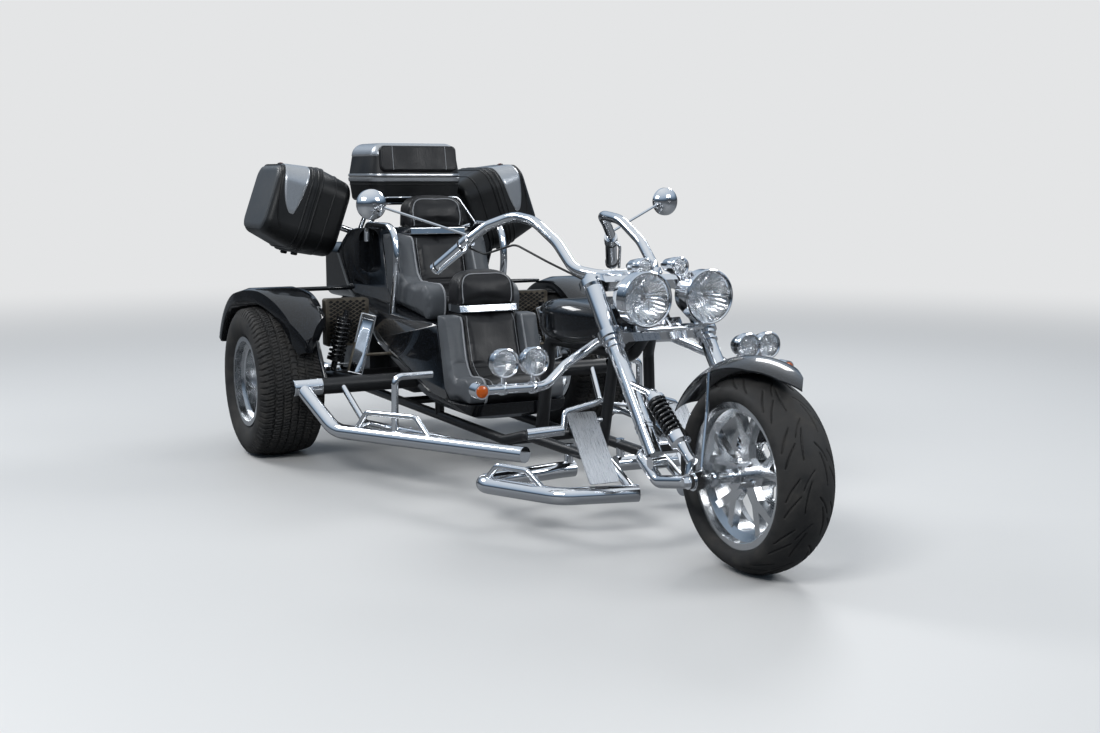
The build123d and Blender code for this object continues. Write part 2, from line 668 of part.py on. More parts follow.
with BuildPart() as body_shell:
    with BuildSketch(Plane(origin=at(0, bolster_half, 0), x_dir=(1, 0, 0), z_dir=(0, -1, 0))) as middle:
        Polygon(*[(x, z) for x, z, wing_x, wing_z in tub_outline], align=None)
    extrude(amount=2 * bolster_half)
    for side in sides:
        for stage, (y, share, back) in enumerate(((bolster_half, 0, 0), (wing_half, 1, 0), (wing_top_half, 1, wing_sweep))):
            with BuildSketch(Plane(origin=at(-back, side * y, 0), x_dir=(1, 0, 0), z_dir=(0, -1, 0))) as rib:
                Polygon(*[(x + (wing_x - x) * share, z + (wing_z - z) * share)
                          for x, z, wing_x, wing_z in tub_outline], align=None)
            if stage:
                loft(sections=[inner_rib, rib.sketch], ruled=True)
            inner_rib = rib.sketch
    with BuildSketch(Plane(origin=at(-400, 0, 0), x_dir=(0, 1, 0), z_dir=(1, 0, 0))) as seen_from_front:
        Polygon(*tub_front, *[(-y, z) for y, z in reversed(tub_front)], align=None)
    extrude(to_extrude=seen_from_front.sketch, amount=1500, mode=Mode.INTERSECT)
    for side in sides:
        with BuildSketch(Plane(origin=at(60, side * scoop_y, scoop_z), x_dir=(0, 1, 0), z_dir=(-1, 0, 0))) as scoop:
            SlotOverall(scoop_h, scoop_w, rotation=90)
        extrude(to_extrude=scoop.sketch, amount=190, mode=Mode.SUBTRACT)
    with BuildSketch(Plane(origin=at(cross_tube_x, wing_top_half, cross_tube_z), x_dir=(1, 0, 0),
                           z_dir=(0, -1, 0))) as tube_slot:
        Circle(cross_tube_r + seat_gap)
        with Locations((0, -60)):
            Rectangle(2 * (cross_tube_r + seat_gap), 120)
    extrude(to_extrude=tube_slot.sketch, amount=2 * wing_top_half, mode=Mode.SUBTRACT)
    for side in sides:
        with BuildSketch(Plane(origin=at(cross_tube_x, side * 150, rail_z))) as post_slot:
            Circle(frame_tube_r + 2)
        extrude(to_extrude=post_slot.sketch, amount=cross_tube_z - rail_z, mode=Mode.SUBTRACT)


def side_profile(points, half, inner=0.0):
    """Adds a cushion's side outline of x, z, corner radius rows, from one side to the other, or as two strips."""
    spans = ((-half, 2 * half),) if inner == 0 else ((-half, half - inner), (inner, half - inner))
    for start_y, width in spans:
        plane = Plane(origin=at(0, start_y + width, 0), x_dir=(1, 0, 0), z_dir=(0, -1, 0))
        with BuildSketch(plane) as outline:
            Polygon(*[(x, z) for x, z, r in points], align=None)
            for x, z, r in points:
                if r > 0:
                    fillet(outline.vertices().sort_by_distance((x, z, 0))[0], r)
        extrude(to_extrude=outline.sketch, amount=width)


passenger_back = [(-64, 958, 12), (-64, 930, 0), (0, 706, 0), (55, 650, 0), (470, 600, 0), (488, 598, 0),
                  (488, 692, 34), (150, 722, 90), (84, 958, 30)]
passenger_side = [(-64, 958, 12), (-64, 930, 0), (0, 706, 0), (55, 650, 0), (478, 598, 44), (500, 752, 66),
                  (200, 764, 90), (112, 958, 40)]
driver_back = [(492, 598, 0), (566, 590, 0), (640, 322, 0), (690, 288, 0), (880, 296, 30), (925, 392, 45),
               (760, 384, 50), (692, 430, 70), (618, 648, 20), (492, 648, 0)]
driver_side = [(560, 600, 0), (640, 322, 0), (690, 284, 0), (870, 270, 60), (940, 402, 62), (748, 398, 60),
               (706, 450, 70), (640, 640, 26), (560, 640, 0)]
with BuildPart() as passenger_seat:
    side_profile(passenger_back, seat_half - seat_gap)
    add(body_shell.part, mode=Mode.SUBTRACT)
with BuildPart() as driver_seat:
    side_profile(driver_back, seat_half - seat_gap)
    add(body_shell.part, mode=Mode.SUBTRACT)
    add(passenger_seat.part, mode=Mode.SUBTRACT)
with BuildPart() as seat_bolsters:
    side_profile(passenger_side, bolster_half, seat_half)
    side_profile(driver_side, bolster_half, seat_half)
    add(body_shell.part, mode=Mode.SUBTRACT)
with BuildPart() as seat_strips:
    side_profile([(-62, 958 + seat_gap, 0), (88, 958 + seat_gap, 4), (84, 990, 4), (-62, 990, 0)], seat_half - seat_gap)
    side_profile([(490, 648 + seat_gap, 0), (622, 648 + seat_gap, 4), (614, 680, 4), (490, 680, 0)], seat_half - seat_gap)

pads = {}
for name, profile, top, corner in (
        ("passenger", [(-62, 990, 0), (80, 990, 16), (52, 1130, 44), (-40, 1130, 30)], 1130, 70),
        ("driver", [(490, 680, 0), (608, 680, 16), (590, 823, 60), (494, 823, 24)], 823, 84)):
    with BuildPart() as pads[name]:
        side_profile([(x, z + seat_gap, r) for x, z, r in profile], seat_half - seat_gap)
        with BuildSketch(Plane(origin=at(-200, 0, top - 120 + seat_gap), x_dir=(0, 1, 0), z_dir=(1, 0, 0))) as dome:
            RectangleRounded(2 * seat_half, 240, corner)
        extrude(to_extrude=dome.sketch, amount=1000, mode=Mode.INTERSECT)
with BuildPart() as head_pads:
    add(pads["passenger"].part)
    add(pads["driver"].part)

# Rear fenders
fender_out_y = 904.0
fender_in_y = 602.0
rear_fender_r = 386.0
fender_skirt = 30.0
fender_plan = [  # station, y: round the fender as seen from above
    (-400, fender_in_y), (-400, fender_out_y), (-90, fender_out_y), (300, 772), (352, 725), (344, 690),
    (250, fender_in_y),
]
with BuildPart() as rear_fenders:
    for side in sides:
        mid = side * (fender_out_y + fender_in_y) / 2
        half = (fender_out_y - fender_in_y) / 2
        axle = Axis(at(0, 0, rear_tyre_r), (0, 1, 0))
        shapes = []
        for wall in (0.0, panel_wall):
            with BuildPart() as arch:
                low = rear_fender_r - fender_skirt
                high = rear_fender_r + 22 - wall
                shoulder = rear_fender_r + 4 - wall
                with BuildSketch(wheel_plane(0, mid, rear_tyre_r)) as section:
                    Polygon((low - wall, -half + wall), (shoulder, -half + wall), (high, -half + 60 + wall / 2),
                            (high, half - 60 - wall / 2), (shoulder, half - wall), (low - wall, half - wall), align=None)
                revolve(profiles=section.sketch.rotate(axle, -66), axis=axle, revolution_arc=132)
                with BuildSketch(Plane.XY) as plan:
                    Polygon(*[at(x, side * y, 0)[:2] for x, y in fender_plan], align=None)
                    offset(amount=-wall if wall else 0.001, kind=Kind.INTERSECTION)
                extrude(to_extrude=plan.sketch, amount=900, mode=Mode.INTERSECT)
            shapes.append(arch.part)
        add(shapes[0] - shapes[1])
        rod([at(-140, side * 290, 712), at(-140, side * (fender_in_y + 30), 712)], [], 10)
        rod([at(cross_tube_x, side * 660, cross_tube_z), at(309, side * 660, 524)], [], 10)
    add(body_shell.part, mode=Mode.SUBTRACT)
    add(cross_tube.part, mode=Mode.SUBTRACT)

# Rear suspension
with BuildPart() as swing_arms:
    for side in sides:
        rod([at(cross_tube_x, side * 500, cross_tube_z), at(160, side * 540, 345), at(0, side * 585, 330)], [80], 26)
        with BuildSketch(Plane(origin=at(0, side * 560, rear_tyre_r), x_dir=(1, 0, 0), z_dir=(0, side, 0))):
            Circle(62)
        extrude(amount=44)
        with BuildSketch(Plane(origin=at(0, side * 604, rear_tyre_r), x_dir=(1, 0, 0), z_dir=(0, side, 0))):
            Circle(rear_stub_r)
        extrude(amount=rear_stub_l)
        rod([at(0, side * (transaxle_half + seat_gap), 330), at(0, side * 562, 330)], [], 20)
    add(cross_tube.part, mode=Mode.SUBTRACT)

with BuildPart() as rear_shocks:
    for side in sides:
        rod([at(182, side * 478, 640), at(170, side * 545, 375)], [], 13)
        spring_top = Vector(*at(181, side * 487, 607))
        spring_foot = Vector(*at(172, side * 532, 430))
        coil_spring(spring_top, (spring_foot - spring_top).normalized(), (spring_foot - spring_top).length, 30, 38, 6, 10)
        with BuildSketch(Plane(origin=spring_foot, x_dir=(1, 0, 0), z_dir=(spring_top - spring_foot).normalized())):
            Circle(38)
        extrude(amount=10)

mesh_pitch_y, mesh_pitch_z = 30.0, 18.0
mesh_web = 3.0
core_y, core_z = 450.0, 580.0
core_w, core_h, core_t = 200.0, 210.0, 46.0
mesh_t = 4.0
hole_w, hole_h = mesh_pitch_y / 2 - mesh_web, mesh_pitch_z / 2 - mesh_web / 2
with BuildPart() as core:
    with BuildSketch(Plane(origin=at(60 + core_t, core_y, core_z), x_dir=(0, 1, 0), z_dir=(1, 0, 0))) as mesh:
        RectangleRounded(core_w, core_h, 12)
        for across, down in ((6, 11), (5, 10)):
            with GridLocations(mesh_pitch_y, mesh_pitch_z, across, down):
                Polygon((-hole_w, 0), (0, -hole_h), (hole_w, 0), (0, hole_h), align=None, mode=Mode.SUBTRACT)
    extrude(to_extrude=mesh.sketch, amount=mesh_t)
    with BuildSketch(Plane(origin=at(60, core_y, core_z), x_dir=(0, 1, 0), z_dir=(1, 0, 0))) as back:
        RectangleRounded(core_w, core_h, 12)
    extrude(to_extrude=back.sketch, amount=core_t)
with BuildPart() as plates:
    for side in sides:
        with BuildSketch(Plane(origin=at(300, side * 457, 504), x_dir=(0, 1, side * 0.28), z_dir=(1, 0, 0))) as slat:
            RectangleRounded(70, 262, 5)
        extrude(to_extrude=slat.sketch, amount=5)
        rod([at(302, side * 295, 455), at(302, side * 440, 455)], [], 7)
        rod([at(85, side * 290, 575), at(85, side * (core_y - core_w / 2), 575)], [], 10)
    add(body_shell.part, mode=Mode.SUBTRACT)
with BuildPart() as radiator:
    add(core.part)
    add(mirror(core.part, about=Plane.XZ))
    add(plates.part)

with BuildPart() as engine_block:
    with BuildSketch(Plane(origin=at(-130, 0, engine_low + engine_h / 2), x_dir=(0, 1, 0), z_dir=(-1, 0, 0))):
        RectangleRounded(2 * engine_half, engine_h, 40)
    extrude(amount=420)
    with BuildSketch(Plane(origin=at(-131, 0, 330), x_dir=(0, 1, 0), z_dir=(1, 0, 0))):
        RectangleRounded(2 * transaxle_half, 180, 40)
    extrude(amount=240)

with BuildPart() as engine_cover:
    with BuildSketch(Plane(origin=at(-192, 0, engine_low + engine_h + seat_gap + 130), x_dir=(0, 1, 0),
                           z_dir=(-1, 0, 0))):
        RectangleRounded(600, 260, 50)
    extrude(amount=418)

with BuildPart() as exhausts:
    for side in sides:
        rod([at(-300, side * (engine_half + seat_gap), 310), at(-300, side * 400, 310), at(-660, side * 400, 300)],
            [60], 32)

with BuildPart() as tail_lamps:
    for side in sides:
        with BuildSketch(Plane(origin=at(-610 - seat_gap, side * 220, 780), x_dir=(0, 1, 0), z_dir=(-1, 0, 0))):
            RectangleRounded(110, 70, 20)
        extrude(amount=24)

# Behind the engine cover: the number plate's bracket, and two lashing eyes under the cradle
plate_w, plate_h, plate_t = 200.0, 130.0, 3.0
plate_hole_pitch, plate_hole_r = 160.0, 3.0
plate_x, plate_z = -640.0, 700.0
eye_r, eye_t, eye_y = 12.0, 10.0, 150.0
eye_x, eye_z = -585.0, 186.0
with BuildPart() as plate_bracket:
    with BuildSketch(Plane(origin=at(plate_x, 0, plate_z), x_dir=(0, 1, 0), z_dir=(-1, 0, 0))):
        RectangleRounded(plate_w, plate_h, 8)
        with GridLocations(plate_hole_pitch, 0, 2, 1):
            Circle(plate_hole_r, mode=Mode.SUBTRACT)
    extrude(amount=plate_t)
    for side in sides:
        rod([at(plate_x - plate_t / 2, side * 40, plate_z), at(-600, side * 40, plate_z)], [], 9)
    add(engine_cover.part, mode=Mode.SUBTRACT)
with BuildPart() as lashing_eyes:
    for side in sides:
        with BuildSketch(Plane(origin=at(eye_x, side * eye_y + eye_t / 2, eye_z), x_dir=(1, 0, 0), z_dir=(0, -1, 0))):
            Circle(26)
            with Locations((26, 0)):
                Rectangle(50, 30)
            Circle(eye_r, mode=Mode.SUBTRACT)
        extrude(amount=eye_t)
    add(main_frame.part, mode=Mode.SUBTRACT)
    add(engine_cover.part, mode=Mode.SUBTRACT)

# Cases and their rack
top_seam_z = top_case_z + top_base_h
below_seam = Plane(origin=at(top_case_x, 0, top_seam_z), x_dir=(1, 0, 0), z_dir=(0, 0, -1))
above_seam = Plane(origin=at(top_case_x, 0, top_seam_z + case_seam), x_dir=(1, 0, 0), z_dir=(0, 0, 1))
with BuildPart() as top_case_shell:
    add(case_half(below_seam, top_case_l, top_case_w, top_base_h, 8, top_corner, 20))
with BuildPart() as top_case_lid:
    add(case_half(above_seam, top_case_l, top_case_w, top_lid_h, 10, top_corner, 56))
with BuildPart() as top_case_pad:
    lean = (cos(radians(10)), 0, sin(radians(10)))
    pad_z = top_seam_z + 24 + pad_h / 2
    pad_x = top_case_x + top_case_l / 2 - (pad_z - top_seam_z) * tan(radians(10))
    with BuildSketch(Plane(origin=at(pad_x - 60, 0, pad_z - 60 * tan(radians(10))), x_dir=(0, 1, 0), z_dir=lean)) as cushion:
        RectangleRounded(pad_w, pad_h, 22)
    extrude(to_extrude=cushion.sketch, amount=60 + pad_t)
    fillet(top_case_pad.faces().sort_by(Axis.X)[-1].edges(), 9)
    with BuildSketch(above_seam) as lid_room:
        RectangleRounded(top_case_l, top_case_w, top_corner)
    extrude(to_extrude=lid_room.sketch, amount=top_lid_h, taper=10, mode=Mode.SUBTRACT)


def side_seam(side, half):
    """A side case's seam plane, a little off the middle, facing out for its lid and in for its base."""
    out = Vector(0, side * cos(radians(side_case_tilt)), sin(radians(side_case_tilt)))
    middle = Vector(*at(side_case_x, side * side_case_y, side_case_z)) + out * half * case_seam / 2
    return Plane(origin=middle, x_dir=(1, 0, 0), z_dir=out * half)


with BuildPart() as side_shells:
    for side in sides:
        add(case_half(side_seam(side, -1), side_case_l, side_case_h, side_base_d, 8, side_corner, case_edge))

rack_tube_r = 9.0
rack_z = top_case_z - rack_tube_r - seat_gap
rack_l = 120.0
arm_stations = (top_case_x - 90, top_case_x + 25)
rack_w = 140.0
with BuildPart() as case_rack:
    rod([at(top_case_x + rack_l, -rack_w, rack_z), at(top_case_x + rack_l, rack_w, rack_z),
         at(top_case_x - rack_l, rack_w, rack_z), at(top_case_x - rack_l, -rack_w, rack_z),
         at(top_case_x + rack_l, -rack_w, rack_z)], [30, 30, 30, 30], rack_tube_r)
    for side in sides:
        out = Vector(0, side * cos(radians(side_case_tilt)), sin(radians(side_case_tilt)))
        for x in arm_stations:
            rod([at(x, side * rack_w, rack_z), at(x, side * 230, 880)], [], 11)
            seat_point = Vector(*at(x, side * side_case_y, side_case_z)) - out * (side_base_d - 2)
            low = Vector(0, side * sin(radians(side_case_tilt)), -cos(radians(side_case_tilt))) * 24
            rod([seat_point + low - out * 126, seat_point + low], [], 10)
    add(engine_cover.part, mode=Mode.SUBTRACT)
    add(side_shells.part, mode=Mode.SUBTRACT)
with BuildPart() as seat_rails:
    for side in sides:
        rod([at(-100, side * 275, 925), at(-95, side * 275, 1000), at(200, side * 262, 1000), at(240, side * 262, 850),
             at(170, side * 262, 600)], [40, 60, 60], 16)
    rod([at(-90, -268, 1000), at(-110, -186, 1122), at(-110, 186, 1122), at(-90, 268, 1000)], [40, 40], 5)
    add(body_shell.part, mode=Mode.SUBTRACT)

side_lids = {}
for side, name in ((-1, "right"), (1, "left")):
    with BuildPart() as side_lids[name]:
        add(case_half(side_seam(side, 1), side_case_l, side_case_h, side_lid_d, 12, side_corner, case_edge))

pieces = {
    "main_frame": main_frame, "cross_tube": cross_tube, "side_bars": side_bars, "foot_loops": foot_loops,
    "foot_plates": foot_plates, "foot_pegs": foot_pegs, "highway_bars": highway_bars,
    "driving_lamps": driving_lamps, "driving_lamp_lenses": driving_lamp_lenses, "turn_signals": turn_signals,
    "fuel_tank": fuel_tank, "body_shell": body_shell, "driver_seat": driver_seat,
    "passenger_seat": passenger_seat, "seat_bolsters": seat_bolsters, "head_pads": head_pads,
    "seat_strips": seat_strips, "rear_fenders": rear_fenders, "swing_arms": swing_arms,
    "rear_shocks": rear_shocks, "radiators": radiator, "engine_block": engine_block,
    "engine_cover": engine_cover, "exhausts": exhausts, "tail_lamps": tail_lamps, "case_rack": case_rack,
    "seat_rails": seat_rails, "plate_bracket": plate_bracket, "lashing_eyes": lashing_eyes,
    "top_case_shell": top_case_shell, "side_case_shells": side_shells,
    "top_case_lid": top_case_lid, "top_case_pad": top_case_pad, "side_case_lid_right": side_lids["right"], "side_case_lid_left": side_lids["left"],
    "fork_yokes": fork_yokes, "fork_tubes": fork_tubes, "leading_link": leading_link, "front_axle": front_axle,
    "front_shocks": front_shocks, "front_fender": front_fender, "fender_stays": fender_stays,
    "front_brake": front_brake,
    "handlebar": handlebar, "grips": grips, "levers": levers, "mirrors": mirrors, "brake_hose": brake_hose,
    "headlamps": headlamps, "headlamp_lenses": headlamp_lenses,
    "front_tyre": front_tyre, "front_rim": front_rim, "front_disc": front_disc,
    "rear_tyre_right": rear_tyres["right"], "rear_rim_right": rear_rims["right"],
    "rear_tyre_left": rear_tyres["left"], "rear_rim_left": rear_rims["left"],
}
for label, piece in pieces.items():
    piece.part.label = label
    export_step(piece.part, f"parts/{label}.step")
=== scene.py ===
"""Looks of a motorized trike: tyres with their tread, stuffed seats, lamps, springs, trim and finishes, built
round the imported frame. Metres, +X forward, +Y left, +Z up; stations are given in mm ahead of the rear axle."""

import bmesh
import bpy
import numpy as np
from mathutils import Matrix, Vector


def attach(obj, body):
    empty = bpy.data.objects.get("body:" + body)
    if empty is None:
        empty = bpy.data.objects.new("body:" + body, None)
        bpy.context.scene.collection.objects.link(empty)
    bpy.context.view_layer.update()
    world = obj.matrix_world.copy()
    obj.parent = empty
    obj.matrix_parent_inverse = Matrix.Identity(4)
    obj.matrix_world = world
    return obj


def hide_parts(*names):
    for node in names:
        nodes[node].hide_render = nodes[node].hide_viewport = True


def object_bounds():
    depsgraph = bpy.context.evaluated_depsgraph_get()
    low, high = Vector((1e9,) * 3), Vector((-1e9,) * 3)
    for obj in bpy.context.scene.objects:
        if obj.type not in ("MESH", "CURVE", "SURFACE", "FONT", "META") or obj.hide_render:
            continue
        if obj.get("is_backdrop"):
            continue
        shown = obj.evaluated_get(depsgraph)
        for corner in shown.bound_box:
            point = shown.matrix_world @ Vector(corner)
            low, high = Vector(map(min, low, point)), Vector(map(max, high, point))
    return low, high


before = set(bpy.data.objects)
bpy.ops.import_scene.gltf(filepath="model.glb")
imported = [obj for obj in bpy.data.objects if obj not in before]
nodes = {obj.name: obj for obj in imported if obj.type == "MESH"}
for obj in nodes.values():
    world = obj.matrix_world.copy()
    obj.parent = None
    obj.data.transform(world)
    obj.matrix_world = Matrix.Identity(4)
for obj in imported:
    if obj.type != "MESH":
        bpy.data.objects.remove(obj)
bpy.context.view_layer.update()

X, Y, Z = np.eye(3)
SIDES = (-1, 1)
HANDS = (("right", -1), ("left", 1))
MM = 0.001
REAR_AXLE_X = -1074.0  # mm
# Stations on the solids: mm ahead of the rear axle, out to one side, and up
FRONT_WHEEL, REAR_WHEEL, AXLE_END = (2528, 0, 311), (0, 761.6, 330), (2528, 248, 311)
FORK_TOP, BAR_SHOULDER, BAR_END, MIRROR = (1829, 186, 865), (1120, 305, 990), (980, 392, 868), (975, 655, 1115)
FRONT_SHOCK_TOP, FRONT_SHOCK_FOOT = (2227, 186, 527), (2451, 186, 360)
FRONT_SHOCK_ARMS = (((2231, 186, 531), (2090, 186, 548), 0.011), ((2451, 186, 366), (2459, 201, 296), 0.012))
REAR_SHOCK_TOP, REAR_SHOCK_FOOT = (182, 478, 640), (170, 545, 375)
HEADLAMP, POD_LAMP, TURN_SIGNAL = (2092, 122, 821), (1990, 70, 918), (1876, 622, 522)
DRIVING_LAMPS, LAMP_CLAMPS = ((1874, 535, 610), (1892, 433, 612)), ((1852, 535, 523), (1871, 433, 524))
TUBE_SLEEVE, TUBE_RING, EXHAUST_END = (430, 687, 352), (430, 700, 352), (-658, 400, 300)
BRIGHT_PLATE, RADIATOR_FACE, PAD_SEAM = (305.2, 457, 504), (107, 450, 580), (-123.6, 132, 1303.8)
TOP_CASE_SEAM, SIDE_CASE_SEAM = (-320, 0, 1217.3), (-460, 482, 1064)


def at(x, y, z):
    """A point in metres from a station ahead of the rear axle, a width and a height, in mm."""
    return np.array([REAR_AXLE_X + x, y, z], float) / 1000.0


def on(side, station):
    """A station's point in metres, on the right (side -1), in the middle (0) or on the left (1)."""
    return at(station[0], side * station[1], station[2])


# Finishes
def linear(code):
    """Scene-linear colour of an sRGB hex code: each channel c becomes ((c + 0.055) / 1.055) ** 2.4, or c / 12.92
    where it is dark."""
    c = np.array([int(code[i:i + 2], 16) / 255.0 for i in (1, 3, 5)])
    c = np.where(c <= 0.04045, c / 12.92, ((c + 0.055) / 1.055) ** 2.4)
    return (float(c[0]), float(c[1]), float(c[2]), 1.0)


def per(size_mm):
    """Texture scale that repeats a pattern about once in that many mm."""
    return 1000.0 / size_mm


def add(tree, kind, settings=None, links=None, into=None):
    """Adds one node. Settings name its sockets or its own properties; "stops" are a colour ramp's (place, hex code)
    pairs, and "span" a range's (from low, from high, to low, to high). Links give a socket an output, or a node whose
    first output is meant. Its own first output goes into a socket of the material's shader where one is named."""
    made = tree.nodes.new("ShaderNode" + kind)
    for key, value in (settings or {}).items():
        if key == "stops":
            while len(made.color_ramp.elements) < len(value):
                made.color_ramp.elements.new(0.5)
            for element, (place, code) in zip(made.color_ramp.elements, value):
                element.position, element.color = place, linear(code)
        elif key == "span":
            for name, end in zip(("From Min", "From Max", "To Min", "To Max"), value):
                made.inputs[name].default_value = end
        elif isinstance(key, str) and hasattr(made, key):
            setattr(made, key, value)
        else:
            made.inputs[key].default_value = value
    for key, source in (links or {}).items():
        tree.links.new(made.inputs[key], source.outputs[0] if hasattr(source, "outputs") else source)
    if into:
        tree.links.new(tree.nodes["Principled BSDF"].inputs[into], made.outputs[0])
    return made


def finish(name, **sockets):
    """A new material, its node tree and Object coordinates; sockets are the shader's, with spaces as underscores."""
    made = bpy.data.materials.new(name)
    made.use_nodes = True
    tree = made.node_tree
    for key, value in sockets.items():
        tree.nodes["Principled BSDF"].inputs[key.replace("_", " ")].default_value = value
    return made, tree, add(tree, "TexCoord").outputs["Object"]


def chromed_steel():
    """Bright nickel chrome over polished steel tube: near mirror, with faint wiping haze."""
    made, tree, coord = finish("chromed_steel", Base_Color=linear("#E3E5E8"), Metallic=1.0)
    haze = add(tree, "TexNoise", {"Scale": per(60), "Detail": 5.0}, {"Vector": coord})
    add(tree, "MapRange", {"span": (0.35, 0.7, 0.035, 0.11)}, {"Value": haze}, "Roughness")
    return made


def polished_aluminium():
    """Forged wheel aluminium, polished: a softer mirror than chrome, with a fine lathe grain."""
    made, tree, coord = finish("polished_aluminium", Base_Color=linear("#CFD1D3"), Metallic=1.0)
    grain = add(tree, "TexNoise", {"Scale": per(25), "Detail": 6.0}, {"Vector": coord})
    add(tree, "MapRange", {"span": (0.3, 0.7, 0.13, 0.27)}, {"Value": grain}, "Roughness")
    return made


def brushed_stainless():
    """Stainless sheet, brushed along: fine grooves 0.4 mm apart, drawn 2 mm apart so that they show."""
    made, tree, coord = finish("brushed_stainless", Base_Color=linear("#B9BCC0"), Metallic=1.0)
    stretched = add(tree, "Mapping", {"Scale": (0.05, 1.0, 0.05)}, {"Vector": coord})
    groove = add(tree, "TexNoise", {"Scale": per(2), "Detail": 2.0}, {"Vector": stretched})
    add(tree, "MapRange", {"span": (0.3, 0.7, 0.24, 0.36)}, {"Value": groove}, "Roughness")
    add(tree, "Bump", {"Strength": 0.3, "Distance": 0.02 * MM}, {"Height": groove}, "Normal")
    return made


def black_lacquer():
    """Black base coat with fine metal flake under clear lacquer: deep gloss that glints blue grey."""
    made, tree, coord = finish("black_lacquer", Roughness=0.35, Specular_IOR_Level=0.1, Coat_Weight=1.0,
                               Coat_Roughness=0.02)
    flake = add(tree, "TexVoronoi", {"Scale": per(1.1)}, {"Vector": coord})
    cell = add(tree, "SeparateColor", {}, {"Color": flake.outputs["Color"]})
    add(tree, "ValToRGB", {"stops": [(0.0, "#040506"), (0.9, "#07080B"), (0.99, "#3A4350")]}, {"Fac": cell},
        "Base Color")
    add(tree, "MapRange", {"span": (0.9, 0.99, 0.0, 0.8)}, {"Value": cell}, "Metallic")
    return made


def powder_coated_steel():
    """Frame tube in black powder coat: satin, with a fine orange peel."""
    made, tree, coord = finish("powder_coated_steel", Base_Color=linear("#131416"), Roughness=0.38)
    peel = add(tree, "TexNoise", {"Scale": per(4), "Detail": 3.0}, {"Vector": coord})
    add(tree, "Bump", {"Strength": 0.5, "Distance": 0.12 * MM}, {"Height": peel}, "Normal")
    return made


def grained_leather(name, dark, light, roughness):
    """Pigmented cowhide: pebbles 3 mm wide, finer pores, upright creases 26 mm apart and slow changes of shade."""
    made, tree, coord = finish(name, Specular_IOR_Level=0.38)
    pebble = add(tree, "TexVoronoi", {"Scale": per(3.2), "feature": "SMOOTH_F1"}, {"Vector": coord})
    pore = add(tree, "TexNoise", {"Scale": per(1.4), "Detail": 3.0}, {"Vector": coord})
    wear = add(tree, "TexNoise", {"Scale": per(90), "Detail": 5.0}, {"Vector": coord})
    add(tree, "ValToRGB", {"stops": [(0.3, dark), (0.75, light)]}, {"Fac": wear}, "Base Color")
    add(tree, "MapRange", {"span": (0.3, 0.7, roughness - 0.08, roughness + 0.1)}, {"Value": wear}, "Roughness")
    relief = add(tree, "Math", {"operation": "MULTIPLY_ADD", 1: 0.35}, {0: pore, 2: pebble})
    drawn = add(tree, "Mapping", {"Scale": (0.16, 1.0, 0.16)}, {"Vector": coord})
    crease = add(tree, "TexNoise", {"Scale": per(26), "Detail": 4.0}, {"Vector": drawn})
    folds = add(tree, "Math", {"operation": "MULTIPLY_ADD", 1: 3.2}, {0: crease, 2: relief})
    add(tree, "Bump", {"Strength": 0.55, "Distance": 0.5 * MM}, {"Height": folds}, "Normal")
    return made


def tyre_rubber():
    """Vulcanised rubber that has run: dark warm grey, matt, with pale dust in patches."""
    made, tree, coord = finish("tyre_rubber", Specular_IOR_Level=0.35)
    dust = add(tree, "TexNoise", {"Scale": per(55), "Detail": 7.0}, {"Vector": coord})
    grit = add(tree, "TexNoise", {"Scale": per(2.0), "Detail": 3.0}, {"Vector": coord})
    add(tree, "ValToRGB", {"stops": [(0.3, "#242424"), (0.55, "#343332"), (0.8, "#454340")]}, {"Fac": dust},
        "Base Color")
    add(tree, "MapRange", {"span": (0.3, 0.7, 0.62, 0.85)}, {"Value": dust}, "Roughness")
    add(tree, "Bump", {"Strength": 0.4, "Distance": 0.15 * MM}, {"Height": grit}, "Normal")
    return made


def textured_abs(name, code):
    """Injection moulded ABS with a fine erosion texture 0.6 mm wide, drawn 1.2 mm wide so that it shows."""
    made, tree, coord = finish(name, Base_Color=linear(code), Specular_IOR_Level=0.4)
    grain = add(tree, "TexVoronoi", {"Scale": per(1.2), "feature": "SMOOTH_F1"}, {"Vector": coord})
    haze = add(tree, "TexNoise", {"Scale": per(120), "Detail": 4.0}, {"Vector": coord})
    add(tree, "MapRange", {"span": (0.3, 0.7, 0.36, 0.52)}, {"Value": haze}, "Roughness")
    add(tree, "Bump", {"Strength": 0.5, "Distance": 0.12 * MM}, {"Height": grain}, "Normal")
    return made


def silver_painted_abs():
    """ABS panel in silver paint with fine aluminium flake under lacquer."""
    made, tree, coord = finish("silver_painted_abs", Metallic=0.75, Roughness=0.3, Coat_Weight=0.6,
                               Coat_Roughness=0.08)
    flake = add(tree, "TexVoronoi", {"Scale": per(0.9)}, {"Vector": coord})
    cell = add(tree, "SeparateColor", {}, {"Color": flake.outputs["Color"]})
    add(tree, "ValToRGB", {"stops": [(0.0, "#9A9DA1"), (1.0, "#C4C7CA")]}, {"Fac": cell}, "Base Color")
    return made


def clear_glass():
    """Moulded lamp glass: clear, hard and smooth."""
    made, tree, coord = finish("clear_glass", Base_Color=linear("#FFFFFF"), Roughness=0.02, IOR=1.5,
                               Transmission_Weight=1.0)
    wave = add(tree, "TexNoise", {"Scale": per(40), "Detail": 2.0}, {"Vector": coord})
    add(tree, "Bump", {"Strength": 0.2, "Distance": 0.1 * MM}, {"Height": wave}, "Normal")
    return made


def metallised_reflector():
    """Lamp bowl of moulded plastic with vacuum aluminium: a soft bright mirror."""
    made, tree, coord = finish("metallised_reflector", Base_Color=linear("#F0F1F2"), Metallic=1.0)
    haze = add(tree, "TexNoise", {"Scale": per(30), "Detail": 3.0}, {"Vector": coord})
    add(tree, "MapRange", {"span": (0.3, 0.7, 0.05, 0.14)}, {"Value": haze}, "Roughness")
    return made


